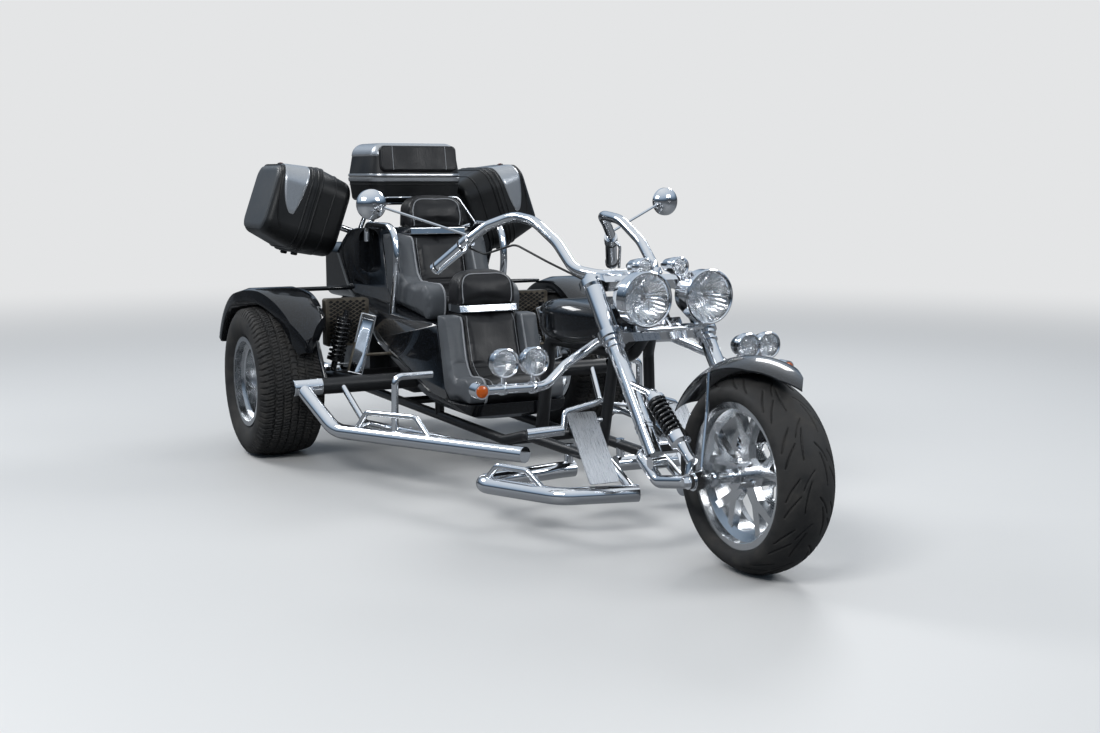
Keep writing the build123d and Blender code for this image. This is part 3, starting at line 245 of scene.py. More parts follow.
def tinted_acrylic(name, code):
    """Moulded acrylic lens, tinted through and a little clear."""
    made, tree, coord = finish(name, Base_Color=linear(code), Roughness=0.08, IOR=1.49, Transmission_Weight=0.35,
                               Coat_Weight=0.3, Coat_Roughness=0.03)
    rib = add(tree, "TexWave", {"Scale": per(24), "bands_direction": "Z"}, {"Vector": coord})
    add(tree, "Bump", {"Strength": 0.6, "Distance": 0.4 * MM}, {"Height": rib.outputs["Fac"]}, "Normal")
    return made


def cast_aluminium():
    """Sand cast aluminium of the engine: dull grey, grainy, darker where oil has baked on."""
    made, tree, coord = finish("cast_aluminium", Metallic=0.8)
    stain = add(tree, "TexNoise", {"Scale": per(80), "Detail": 7.0}, {"Vector": coord})
    grain = add(tree, "TexNoise", {"Scale": per(2.5), "Detail": 4.0}, {"Vector": coord})
    add(tree, "ValToRGB", {"stops": [(0.3, "#3C3D3E"), (0.7, "#5A5C5E")]}, {"Fac": stain}, "Base Color")
    add(tree, "MapRange", {"span": (0.3, 0.7, 0.45, 0.62)}, {"Value": grain}, "Roughness")
    add(tree, "Bump", {"Strength": 0.5, "Distance": 0.3 * MM}, {"Height": grain}, "Normal")
    return made


def ground_disc_steel():
    """Stainless brake disc, ground by its pads: rings 0.5 mm apart, drawn 1.5 mm apart so that they show."""
    made, tree, coord = finish("ground_disc_steel", Base_Color=linear("#9DA0A3"), Metallic=1.0)
    centred = add(tree, "Mapping", {"Location": tuple(-at(*FRONT_WHEEL))}, {"Vector": coord})
    ring = add(tree, "TexWave", {"wave_type": "RINGS", "rings_direction": "Y", "Scale": per(30)},
               {"Vector": centred})
    add(tree, "MapRange", {"span": (0.0, 1.0, 0.18, 0.34)}, {"Value": ring.outputs["Fac"]}, "Roughness")
    return made


def moulded_rubber():
    """Moulded black rubber of grips, pads and hoses: satin, with a soft grain."""
    made, tree, coord = finish("moulded_rubber", Base_Color=linear("#151515"), Roughness=0.55)
    grain = add(tree, "TexNoise", {"Scale": per(1.5), "Detail": 3.0}, {"Vector": coord})
    add(tree, "Bump", {"Strength": 0.5, "Distance": 0.15 * MM}, {"Height": grain}, "Normal")
    return made


def lacquered_spring_steel():
    """Spring wire and shock bodies in black lacquer."""
    made, tree, coord = finish("lacquered_spring_steel", Base_Color=linear("#0D0D0F"), Roughness=0.22,
                               Coat_Weight=0.5, Coat_Roughness=0.05)
    grit = add(tree, "TexNoise", {"Scale": per(12), "Detail": 5.0}, {"Vector": coord})
    add(tree, "MapRange", {"span": (0.35, 0.7, 0.18, 0.4)}, {"Value": grit}, "Roughness")
    return made


def bronze_anodised_mesh():
    """Expanded mesh before the radiators: dark bronze anodised aluminium with pale dust in patches."""
    made, tree, coord = finish("bronze_anodised_mesh", Metallic=0.7, Roughness=0.42)
    dust = add(tree, "TexNoise", {"Scale": per(35), "Detail": 6.0}, {"Vector": coord})
    add(tree, "ValToRGB", {"stops": [(0.3, "#4A433A"), (0.7, "#7E776B")]}, {"Fac": dust}, "Base Color")
    return made


chrome = chromed_steel()
alloy = polished_aluminium()
stainless = brushed_stainless()
lacquer = black_lacquer()
powder = powder_coated_steel()
black_leather = grained_leather("grained_leather_black", "#0D0D0F", "#18181A", 0.44)
grey_leather = grained_leather("grained_leather_grey", "#505357", "#5D6165", 0.46)
piping_vinyl = grained_leather("grained_vinyl_piping", "#8B8E92", "#A6A9AD", 0.42)
rubber = tyre_rubber()
case_black = textured_abs("textured_abs_black", "#0E0F10")
# Painted sunlight: the cases' far faces are the same black ABS, drawn grey for the sun falling on them
case_black_painted_sunlit = textured_abs("textured_abs_black_painted_sunlit", "#3E4144")
case_silver = silver_painted_abs()
glass = clear_glass()
reflector = metallised_reflector()
amber = tinted_acrylic("tinted_acrylic_amber", "#E0670E")
red = tinted_acrylic("tinted_acrylic_red", "#A50D10")
engine_alloy = cast_aluminium()
disc_steel = ground_disc_steel()
soft_rubber = moulded_rubber()
spring_black = lacquered_spring_steel()
mesh_bronze = bronze_anodised_mesh()
lamp_black = textured_abs("textured_abs_lamp_seat", "#0A0A0B")

NODE_FINISHES = [  # every node that isn't named here is chromed
    (powder, "main_frame cross_tube swing_arms plate_bracket lashing_eyes front_brake"),
    (stainless, "foot_plates"),
    (glass, "driving_lamp_lenses headlamp_lenses"),
    (lacquer, "fuel_tank body_shell rear_fenders engine_cover front_fender"),
    (black_leather, "driver_seat passenger_seat head_pads top_case_pad"),
    (grey_leather, "seat_bolsters"),
    (spring_black, "rear_shocks front_shocks"),
    (mesh_bronze, "radiators"),
    (engine_alloy, "engine_block"),
    (red, "tail_lamps"),
    (case_black, "top_case_shell side_case_shells top_case_lid side_case_lid_right side_case_lid_left"),
    (soft_rubber, "brake_hose"),
    (rubber, "front_tyre rear_tyre_right rear_tyre_left"),
    (alloy, "front_rim rear_rim_right rear_rim_left"),
    (disc_steel, "front_disc"),
]
for node in nodes.values():
    node.data.materials.clear()
    node.data.materials.append(chrome)
for material, names in NODE_FINISHES:
    for node_name in names.split():
        nodes[node_name].data.materials[0] = material


# Shapes
def linked(name, data):
    """An object of that name with that data, in the scene's collection."""
    made = bpy.data.objects.new(name, data)
    bpy.context.scene.collection.objects.link(made)
    return made


def grid_faces(rows, columns, wrap_rows=False, wrap_columns=False):
    """Quads of a rows x columns grid of points, joined end to start where wrapped."""
    r = np.arange(rows if wrap_rows else rows - 1)
    c = np.arange(columns if wrap_columns else columns - 1)
    i, j = np.meshgrid(r, c, indexing="ij")
    i1, j1 = (i + 1) % rows, (j + 1) % columns
    quads = np.stack([i * columns + j, i1 * columns + j, i1 * columns + j1, i * columns + j1], axis=-1)
    return quads.reshape(-1, 4)


def surface(points, wrap_rows=False, wrap_columns=False, caps=False):
    """Vertices and faces of a grid of points; caps close the first and last row with a fan to their middle."""
    rows, columns = points.shape[:2]
    verts = points.reshape(-1, 3)
    faces = [tuple(f) for f in grid_faces(rows, columns, wrap_rows, wrap_columns).tolist()]
    if caps:
        for row in (0, rows - 1):
            middle = len(verts)
            verts = np.vstack([verts, points[row].mean(axis=0)])
            ring = row * columns + np.arange(columns)
            faces += [(int(a), int(b), middle) for a, b in zip(ring, np.roll(ring, -1))]
    return verts, faces


def piece(name, parts, material, body, sharp=40.0, instead=None):
    """A mesh object from (vertices, faces) parts, faces outwards, riding on a body. Edges that turn by more than sharp
    degrees stay sharp; instead names the node whose place it takes."""
    verts, faces, start = [], [], 0
    for v, f in parts:
        verts.append(v)
        faces += [tuple(i + start for i in face) for face in f]
        start += len(v)
    mesh = bpy.data.meshes.new(name)
    mesh.from_pydata(np.vstack(verts).tolist(), [], faces)
    made = linked(name, mesh)
    shape = bmesh.new()
    shape.from_mesh(mesh)
    bmesh.ops.remove_doubles(shape, verts=shape.verts, dist=1e-6)
    bmesh.ops.recalc_face_normals(shape, faces=shape.faces)
    for face in shape.faces:
        face.smooth = True
    for edge in shape.edges:
        edge.smooth = not (len(edge.link_faces) == 2 and edge.calc_face_angle(0.0) > np.radians(sharp))
    shape.to_mesh(mesh)
    shape.free()
    mesh.materials.append(material)
    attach(made, body)
    if instead:
        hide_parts(instead)
    return made


def arc(a, b, c, count):
    """Points on the circle through a, b and c, from a to c."""
    a, b, c = (np.array(p, float) for p in (a, b, c))
    m = np.array([b - a, c - b])
    q = np.array([((b - a) @ (b + a)) / 2, ((c - b) @ (c + b)) / 2])
    middle = np.linalg.solve(m, q)
    start = np.arctan2(*(a - middle)[::-1])
    mid = (np.arctan2(*(b - middle)[::-1]) - start) % (2 * np.pi)
    end = (np.arctan2(*(c - middle)[::-1]) - start) % (2 * np.pi)
    if mid > end:
        end -= 2 * np.pi
    angle = start + np.linspace(0, end, count)
    return middle + np.hypot(*(a - middle)) * np.stack([np.cos(angle), np.sin(angle)], axis=-1)


def carried(path, rings):
    """A closed profile carried along a path: row i is the ring i (offsets along the frame's two normals) placed at
    path point i, with the frame turned from row to row by the least angle that follows the path."""
    path = np.asarray(path, float)
    tangent = np.gradient(path, axis=0)
    tangent /= np.linalg.norm(tangent, axis=1)[:, None]
    seed = np.array([0.0, 1.0, 0.0]) if abs(tangent[0, 1]) < 0.9 else np.array([1.0, 0.0, 0.0])
    side = np.cross(tangent[0], seed)
    side /= np.linalg.norm(side)
    frames = []
    for t in tangent:
        side = side - t * (side @ t)
        side /= np.linalg.norm(side)
        frames.append((side, np.cross(t, side)))
    n = np.array([f[0] for f in frames])[:, None, :]
    b = np.array([f[1] for f in frames])[:, None, :]
    rings = np.broadcast_to(rings, (len(path),) + rings.shape[-2:])
    return path[:, None, :] + rings[:, :, :1] * n + rings[:, :, 1:] * b


def round_ring(radius, count=16):
    """A circle of points about the origin."""
    angle = np.linspace(0, 2 * np.pi, count, endpoint=False)
    return np.stack([np.cos(angle), np.sin(angle)], axis=-1) * radius


def tube(path, radius, count=16):
    """A round bar along a path, with closed ends; radius may change from point to point."""
    radius = np.broadcast_to(np.asarray(radius, float), (len(path),))
    rings = round_ring(1.0, count)[None] * radius[:, None, None]
    return surface(carried(path, rings), wrap_columns=True, caps=True)


def turned(centre, axis, outline, count=64):
    """A body turned about an axis through centre from closed (radius, place along the axis) corners: the point at
    angle f and corner k is centre + radius(k) (cos f u + sin f v) + place(k) axis, with u and v across the axis."""
    axis = np.array(axis, float) / np.linalg.norm(axis)
    seed = np.array([0.0, 0.0, 1.0]) if abs(axis[2]) < 0.9 else np.array([1.0, 0.0, 0.0])
    u = np.cross(axis, seed)
    u /= np.linalg.norm(u)
    v = np.cross(axis, u)
    angle = np.linspace(0, 2 * np.pi, count, endpoint=False)
    radial = np.cos(angle)[:, None] * u + np.sin(angle)[:, None] * v
    outline = np.array(outline, float)
    points = np.array(centre) + radial[:, None, :] * outline[None, :, :1] + axis * outline[None, :, 1:]
    return surface(points, wrap_rows=True, wrap_columns=True)


def slab(top, bottom):
    """A closed plate between two grids of points of one shape."""
    rows, columns = top.shape[:2]
    count = rows * columns
    quads = grid_faces(rows, columns)
    index = np.arange(count).reshape(rows, columns)
    rim = np.concatenate([index[0], index[1:, -1], index[-1, -2::-1], index[-2:0:-1, 0]])
    walls = np.stack([rim, np.roll(rim, -1), np.roll(rim, -1) + count, rim + count], axis=-1)
    faces = np.vstack([quads, quads[:, ::-1] + count, walls])
    return np.vstack([top.reshape(-1, 3), bottom.reshape(-1, 3)]), [tuple(f) for f in faces.tolist()]


def rounded(corners, count=8):
    """A polyline through (a, b, radius) or (a, b, c, radius) corners. Each inner corner becomes an arc of its radius
    R that touches both runs: middle + R (cos f e1 + sin f e2), with e1 towards the corner and e2 along the turn."""
    points = np.array([c[:-1] for c in corners], float)
    path = [points[:1]]
    for before, corner, after, spec in zip(points, points[1:], points[2:], corners[1:]):
        u, v = before - corner, after - corner
        limit = 0.49 * min(np.linalg.norm(u), np.linalg.norm(v))
        u, v = u / np.linalg.norm(u), v / np.linalg.norm(v)
        half = np.arccos(np.clip(u @ v, -1, 1)) / 2
        r = min(spec[-1], limit * np.tan(half))
        e1 = -(u + v) / np.linalg.norm(u + v)
        e2 = (v - u) / np.linalg.norm(v - u)
        f = np.linspace(half - np.pi / 2, np.pi / 2 - half, count)[:, None]
        path.append(corner - e1 * r / np.sin(half) + r * (np.cos(f) * e1 + np.sin(f) * e2))
    path.append(points[-1:])
    return np.vstack(path)


def resampled(path, count):
    """Points at even distances along a path."""
    path = np.asarray(path, float)
    run = np.concatenate([[0], np.cumsum(np.linalg.norm(np.diff(path, axis=0), axis=1))])
    even = np.linspace(0, run[-1], count)
    return np.stack([np.interp(even, run, path[:, k]) for k in range(path.shape[1])], axis=-1)


def smooth_run(points, count=60):
    """A curve through points: cubic runs whose slope at each point follows its neighbours (Catmull-Rom)."""
    p = np.asarray(points, float)
    p = np.vstack([2 * p[0] - p[1], p, 2 * p[-1] - p[-2]])
    spans = len(p) - 3
    u = np.linspace(0, spans - 1e-6, count)
    i = u.astype(int)
    f = (u - i)[:, None]
    a, b, c, d = p[i], p[i + 1], p[i + 2], p[i + 3]
    return 0.5 * (2 * b + (c - a) * f + (2 * a - 5 * b + 4 * c - d) * f ** 2 + (3 * b - a - 3 * c + d) * f ** 3)


def coil(start, along, length, radius, wire, turns):
    """A spring's wire: at angle u its middle is start + along * rise(u) + radius * (cos u, sin u) across; the rise
    flattens over the first and last turn, as ground spring ends do."""
    along = np.array(along, float) / np.linalg.norm(along)
    side = np.cross(along, (0.0, 1.0, 0.0))
    side /= np.linalg.norm(side)
    other = np.cross(along, side)
    u = np.linspace(0, turns, int(turns * 28))
    pitch = np.clip(np.minimum(u, turns - u), 0.25, 1.0)
    rise = np.concatenate([[0], np.cumsum((pitch[1:] + pitch[:-1]) / 2 * np.diff(u))])
    rise *= (length - 2 * wire) / rise[-1]
    angle = (2 * np.pi * u)[:, None]
    path = start + along * (rise + wire)[:, None] + radius * (np.cos(angle) * side + np.sin(angle) * other)
    return tube(path, wire, 12)


def disc(r, low, high):
    """Outline of a plain disc or rod of radius r between two places along its axis."""
    return [(0, low), (r, low), (r, high), (0, high)]


def hoop(inner, outer, low, high):
    """Outline of a plain ring between two radii and two places along its axis."""
    return [(inner, low), (outer, low), (outer, high), (inner, high)]


def bolt_circle(middle, out, radius, angles, size):
    """Hexagon heads on a circle about an axle, at angles turned from X towards Z."""
    return [turned(middle + radius * (np.cos(q) * X + np.sin(q) * Z), out, bolt(size), 6) for q in angles]


def bolt(size):
    """Outline of a bolt head with its washer, from the seat outwards, for a hexagon of that width in metres."""
    r = size * 0.577
    return [(0.0, 0.0), (r * 1.25, 0.0), (r * 1.25, 0.0015), (r, 0.0015), (r, size * 0.55), (r * 0.8, size * 0.65),
            (0.0, size * 0.65)]


def case_skin(centre, along, wide_axis, out, long, wide, depth, taper, corner, edge):
    """A case half's outside as points of (t, v, lift), in mm: t runs once round its rounded outline, v climbs the
    tapered wall to 0.7, turns over the edge's arc to 1 and crosses the far face to its middle at 2."""
    # at each of these shares of t: the corner whose middle the outline turns about, and the way it faces
    knots = np.array([0, 0.07, 0.18, 0.32, 0.43, 0.57, 0.68, 0.82, 0.93, 1.0])
    share_a = np.array([1, 1, 1, -1, -1, -1, -1, 1, 1, 1.0])
    share_b = np.array([0, 1, 1, 1, 1, -1, -1, -1, -1, 0.0])
    turn = np.radians([0, 0, 90, 90, 180, 180, 270, 270, 360, 360])
    tau = np.radians(taper)
    start = depth - edge + edge * np.sin(tau)

    def skin(t, v, lift=0.0):
        t, v, lift = np.broadcast_arrays(np.asarray(t, float), np.asarray(v, float), np.asarray(lift, float))
        bend = tau + (np.pi / 2 - tau) * np.clip((v - 0.7) / 0.3, 0, 1)
        height = np.where(v < 0.7, start * v / 0.7, depth - edge + edge * np.sin(bend))
        inset = np.where(v < 0.7, height * np.tan(tau),
                         (depth - edge) * np.tan(tau) + edge / np.cos(tau) - edge * np.cos(bend))
        shrink = np.where(v > 1, 2 - v, 1.0)
        c = np.maximum(corner - inset, 4.0)
        phi = np.interp(t % 1.0, knots, turn)
        x = ((long / 2 - inset - c) * np.interp(t % 1.0, knots, share_a) + c * np.cos(phi)) * shrink
        y = ((wide / 2 - inset - c) * np.interp(t % 1.0, knots, share_b) + c * np.sin(phi)) * shrink
        x = x + lift * np.cos(bend) * np.cos(phi)
        y = y + lift * np.cos(bend) * np.sin(phi)
        z = height + lift * np.sin(bend)
        return centre + (x[..., None] * along + y[..., None] * wide_axis + z[..., None] * out) / 1000.0
    return skin


def case_plate(skin, t_span, v_low, v_high, lift, rows=60, columns=16, rim=0.12):
    """A plate on a case's skin. At shares p and q it lies at t = t_span(p) and v between v_low(p) and v_high(p); its
    height rises from under the skin at the rim as a quarter sine. A whole turn of t closes on itself."""
    p = np.linspace(0, 1, rows)[:, None]
    q = np.linspace(0, 1, columns)[None, :]
    t = t_span[0] + (t_span[1] - t_span[0]) * p
    whole = t_span[1] - t_span[0] > 0.999
    low = v_low(p) if callable(v_low) else v_low
    high = v_high(p) if callable(v_high) else v_high
    v = low + (high - low) * q
    if np.max(high) > 1.9:  # it ends in the middle of the face, so only its outer edge falls
        near = q
    elif whole:
        near = np.minimum(q, 1 - q)
    else:
        near = np.minimum(np.minimum(p, 1 - p) * 2.5, np.minimum(q, 1 - q))
    rise = (lift + 0.8) * np.sin(np.pi / 2 * np.clip(near / rim, 0, 1)) - 0.8 + 0 * t
    top, bottom = skin(t, v, rise), skin(t, v, -2.0)
    if whole:
        return surface(np.concatenate([top[:-1], bottom[:-1, ::-1]], axis=1), wrap_rows=True, wrap_columns=True)
    return slab(top, bottom)


# Tyres
ROAD_PITCH = 0.0288  # all in metres
ROAD_GROOVES = ((0.016, 0.0060), (0.050, 0.0080), (0.086, 0.0070))  # zigzag grooves: place across, width
ROAD_SWAY, ROAD_GROOVE_DEPTH, ROAD_SHOULDER = 0.0030, 0.0085, 0.022
BEAD_IN, RIM_FLANGE, SEAT_GAP = 8.5, 14.0, 0.3  # bead from the rim's edge, rim's flange, clearance on it, mm
FRONT_TYRE = 311  # its radius, mm
SPORT_PITCHES = 12  # repeats of the front tyre's cuts round it
SPORT_CUTS = (  # start along, start across, end along, end across, all in mm; four cuts a side in each pitch
    (0, 88, 74, 52), (52, 90, 128, 55), (20, 38, 118, 20), (92, 46, 150, 8),
)


def tread_depth(kind, along, across, half):
    """Groove depth in metres at places along the rolling line and across the tread, both in metres: a cut is at its
    full depth within its half width of its line, and rises to nothing over its wall. Road tyres have zigzag grooves and
    slanted cuts between them; the sport tyre has bowed cuts, narrow at their ends and moved on by half a pitch on one
    side."""
    depth = np.zeros(np.broadcast(along, across).shape)
    if kind == "road":
        phase = along / ROAD_PITCH
        saw = np.abs((phase % 1.0) - 0.5) * 4 - 1
        for middle, width in ROAD_GROOVES:
            for side in SIDES:
                off = np.abs(across - side * (middle + ROAD_SWAY * saw))
                depth = np.maximum(depth, ROAD_GROOVE_DEPTH * np.clip((width / 2 + 0.0014 - off) / 0.0026, 0, 1))
        w = np.abs(across)
        slant = phase + w * 9.0
        slot = np.abs((slant % 1.0) - 0.5) * ROAD_PITCH
        between = np.abs(((slant + 0.5) % 1.0) - 0.5) * ROAD_PITCH
        cuts = (  # from and to across, distance from the cut's line, half width, depth
            ((0.088, half + ROAD_SHOULDER), slot, 0.0034, 0.0080), ((0.088, 0.112), between, 0.0018, 0.0050),
            ((0.052, 0.088), between, 0.0028, 0.0070), ((0.060, 0.080), slot, 0.0016, 0.0045),
            ((0.017, 0.050), slot, 0.0028, 0.0070), ((0.024, 0.042), between, 0.0016, 0.0045),
            ((0.0, 0.015), between, 0.0024, 0.0055),
        )
        for reach, off, wide, deep in cuts:
            cut = np.clip((wide + 0.0010 - off) / 0.0018, 0, 1) * (w > reach[0]) * (w < reach[1])
            depth = np.maximum(depth, deep * cut)
    else:
        length = 2 * np.pi * FRONT_TYRE / 1000.0 / SPORT_PITCHES
        for side in SIDES:
            shift = 0.0 if side > 0 else length / 2
            for a0, w0, a1, w1 in SPORT_CUTS:
                start = np.array([a0, w0]) / 1000.0
                run = np.array([a1 - a0, w1 - w0]) / 1000.0
                for turn in (-1, 0, 1):
                    da = ((along + shift) % length) + turn * length - start[0]
                    dw = side * across - start[1]
                    t = np.clip((da * run[0] + dw * run[1]) / (run @ run), 0, 1)
                    off = np.hypot(da - t * run[0], dw - t * run[1] - 0.005 * np.sin(np.pi * t))
                    wide = 0.0024 * (0.5 + 0.8 * np.sin(np.pi * t))
                    depth = np.maximum(depth, 0.0052 * np.clip((wide + 0.001 - off) / 0.0018, 0, 1))
    return depth


def tyre_surface(name, node, kind, centre, r, w, rim_r, rim_w, crown_drop, shoulder_in, turns, across_count, body):
    """A tyre: the point at turn angle u and profile place v is the axle plus (radius(v) - groove(u, v)) along the
    spoke direction of u, at width(v). The profile runs from bead to bead over the crown and back inside the rim."""
    bead = rim_w / 2 - BEAD_IN
    inner = rim_r - RIM_FLANGE + SEAT_GAP
    crown, shoulder = r - crown_drop, w / 2 - shoulder_in
    belly = (rim_r + crown) / 2 + 4
    wall = arc((rim_r + 1.5, bead), (belly, w / 2 - 0.6), (crown, shoulder), 16)
    top = arc((crown, shoulder), (r, 0), (crown, -shoulder), across_count)
    profile = np.vstack([[(inner, bead)], wall[:-1], top, wall[::-1][1:] * (1, -1), [(inner, -bead)]]) / 1000.0
    run = np.gradient(profile, axis=0)
    normal = np.stack([-run[:, 1], run[:, 0]], axis=-1)
    normal /= np.linalg.norm(normal, axis=1)[:, None]
    normal *= np.sign(normal[len(normal) // 2, 0])
    angle = np.linspace(0, 2 * np.pi, turns, endpoint=False)
    along = angle[:, None] * r / 1000.0
    across = profile[:, 1][None, :]
    on_tread = np.abs(np.arange(len(profile)) - len(profile) / 2) < (across_count / 2 + 3)
    depth = tread_depth(kind, along, across, shoulder / 1000.0) * on_tread[None, :]
    rib = 0.0008 * np.clip(1 - np.abs(profile[:, 0] - (rim_r + 12) / 1000.0) / 0.003, 0, 1)
    radius = profile[None, :, 0] - depth * normal[None, :, 0] + rib * normal[None, :, 0]
    width = profile[None, :, 1] - depth * normal[None, :, 1] + rib * normal[None, :, 1]
    x = np.cos(angle)[:, None] * radius
    z = np.sin(angle)[:, None] * radius
    points = np.stack([x, width, z], axis=-1) + centre
    piece(name, [surface(points, wrap_rows=True, wrap_columns=True)], rubber, body, 50, node)


tyre_surface("front_tyre_tread", "front_tyre", "sport", at(*FRONT_WHEEL), r=FRONT_TYRE, w=200, rim_r=228, rim_w=150,
             crown_drop=36, shoulder_in=9, turns=620, across_count=100, body="front_wheel")
for hand, side in HANDS:
    tyre_surface("rear_tyre_tread_" + hand, "rear_tyre_" + hand, "road", on(side, REAR_WHEEL), r=330, w=290,
                 rim_r=196, rim_w=250, crown_drop=14, shoulder_in=22, turns=720, across_count=96,
                 body="rear_wheel_" + hand)


# Seats
MERGE = 1e-5  # metres within which a node's loose corners are one


def node_copy(name, node):
    """A copy of a node as an object of its own, and an open bmesh of it with its loose corners merged."""
    made = linked(name, nodes[node].data.copy())
    bpy.context.view_layer.objects.active = made
    shape = bmesh.new()
    shape.from_mesh(made.data)
    bmesh.ops.remove_doubles(shape, verts=shape.verts, dist=MERGE)
    return made, shape


def places(made):
    """An object's vertices as rows of x, y, z."""
    flat = np.zeros(len(made.data.vertices) * 3)
    made.data.vertices.foreach_get("co", flat)
    return flat.reshape(-1, 3)


def stuffed(name, node, material, voxel=0.0058, pressure=4.0, cap=0.012):
    """A cushion blown up from its solid: remeshed, pressed outwards as cloth, and smoothed once."""
    made, shape = node_copy(name, node)
    shape.to_mesh(made.data)
    shape.free()
    made.modifiers.new("even", "REMESH").voxel_size = voxel
    bpy.ops.object.modifier_apply(modifier="even")
    rest = places(made)
    cloth = made.modifiers.new("blown", "CLOTH")
    cloth.settings.quality = 5
    cloth.settings.use_pressure = True
    cloth.settings.uniform_pressure_force = pressure
    cloth.settings.tension_stiffness = 25
    cloth.settings.compression_stiffness = 25
    cloth.settings.bending_stiffness = 2.0
    cloth.settings.effector_weights.gravity = 0.0
    cloth.collision_settings.use_collision = False
    for step in range(1, 15):
        bpy.context.scene.frame_set(step)
    moved = places(made.evaluated_get(bpy.context.evaluated_depsgraph_get())) - rest
    made.modifiers.remove(cloth)
    bpy.context.scene.frame_set(1)
    length = np.linalg.norm(moved, axis=1)[:, None]
    moved *= np.minimum(1.0, cap / np.maximum(length, 1e-9))
    made.data.vertices.foreach_set("co", (rest + moved).ravel())
    smooth = made.modifiers.new("settle", "SMOOTH")
    smooth.factor = 0.5
    smooth.iterations = 4
    bpy.ops.object.modifier_apply(modifier="settle")
    made.data.materials.clear()
    made.data.materials.append(material)
    for polygon in made.data.polygons:
        polygon.use_smooth = True
    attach(made, "chassis")
    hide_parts(node)
    return made


driver_cushion = stuffed("driver_seat_cushion", "driver_seat", black_leather)
passenger_cushion = stuffed("passenger_seat_cushion", "passenger_seat", black_leather)
bolster_cushions = stuffed("seat_bolster_cushions", "seat_bolsters", grey_leather)
pad_cushions = stuffed("head_pad_cushions", "head_pads", black_leather)


# Mouldings: edges of the painted panels rounded as a mould needs
def moulded(name, node, material, width, limit=28.0, segments=3):
    """A node's copy, its flat triangles merged to faces, with every edge sharper than the limit rounded."""
    made, shape = node_copy(name, node)
    bmesh.ops.dissolve_limit(shape, angle_limit=np.radians(0.6), verts=shape.verts, edges=shape.edges)
    bmesh.ops.recalc_face_normals(shape, faces=shape.faces)
    for face in shape.faces:
        face.smooth = True
    shape.to_mesh(made.data)
    shape.free()
    made.data.materials.clear()
    made.data.materials.append(material)
    bevel = made.modifiers.new("round", "BEVEL")
    bevel.width = width
    bevel.segments = segments
    bevel.limit_method = "ANGLE"
    bevel.angle_limit = np.radians(limit)
    bevel.harden_normals = True
    bevel.use_clamp_overlap = True
    bpy.ops.object.modifier_apply(modifier="round")
    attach(made, "chassis")
    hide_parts(node)
    return made


tub = moulded("body_shell_moulding", "body_shell", lacquer, 0.009)
moulded("rear_fender_mouldings", "rear_fenders", lacquer, 0.007)

# Cases: silver panels, seam bands, ridges, locks and feet
ROUND = (0, 1)  # a plate that goes once round its case
TOP_CASE = {"long": 380, "wide": 460, "corner": 70}  # mm
SIDE_CASE = {"long": 440, "wide": 404, "corner": 108}  # mm
SIDE_CASE_TILT = np.radians(19.0)  # its far face turned upwards
SEAM_GAP = 0.0003  # from a side case's seam to each of its halves, metres
LOCK_PLACE, FOOT_PLACES = (0.235, 0.66), ((0.70, 0.08), (0.80, 0.08))  # t and v on the skin
LOCK_SEAT = [(0, 0), (0.016, 0), (0.016, 0.004), (0.013, 0.006), (0, 0.006)]
CASE_FOOT = [(0, 0), (0.016, 0), (0.016, 0.010), (0.012, 0.014), (0, 0.014)]


def bands(name, rows, material, body, count=120, span=ROUND):
    """Plates on a case's skin as one piece: each row is a skin, v low, v high, height in mm, columns and rim."""
    piece(name, [case_plate(skin, span, low, high, lift, rows=count, columns=columns, rim=rim)
                 for skin, low, high, lift, columns, rim in rows], material, body)


def grow(p):
    """How far a side case's silver panel has widened at share p of its length: a quarter sine over its first half."""
    return np.sin(np.pi / 2 * np.clip(p / 0.5, 0, 1)) ** 0.6


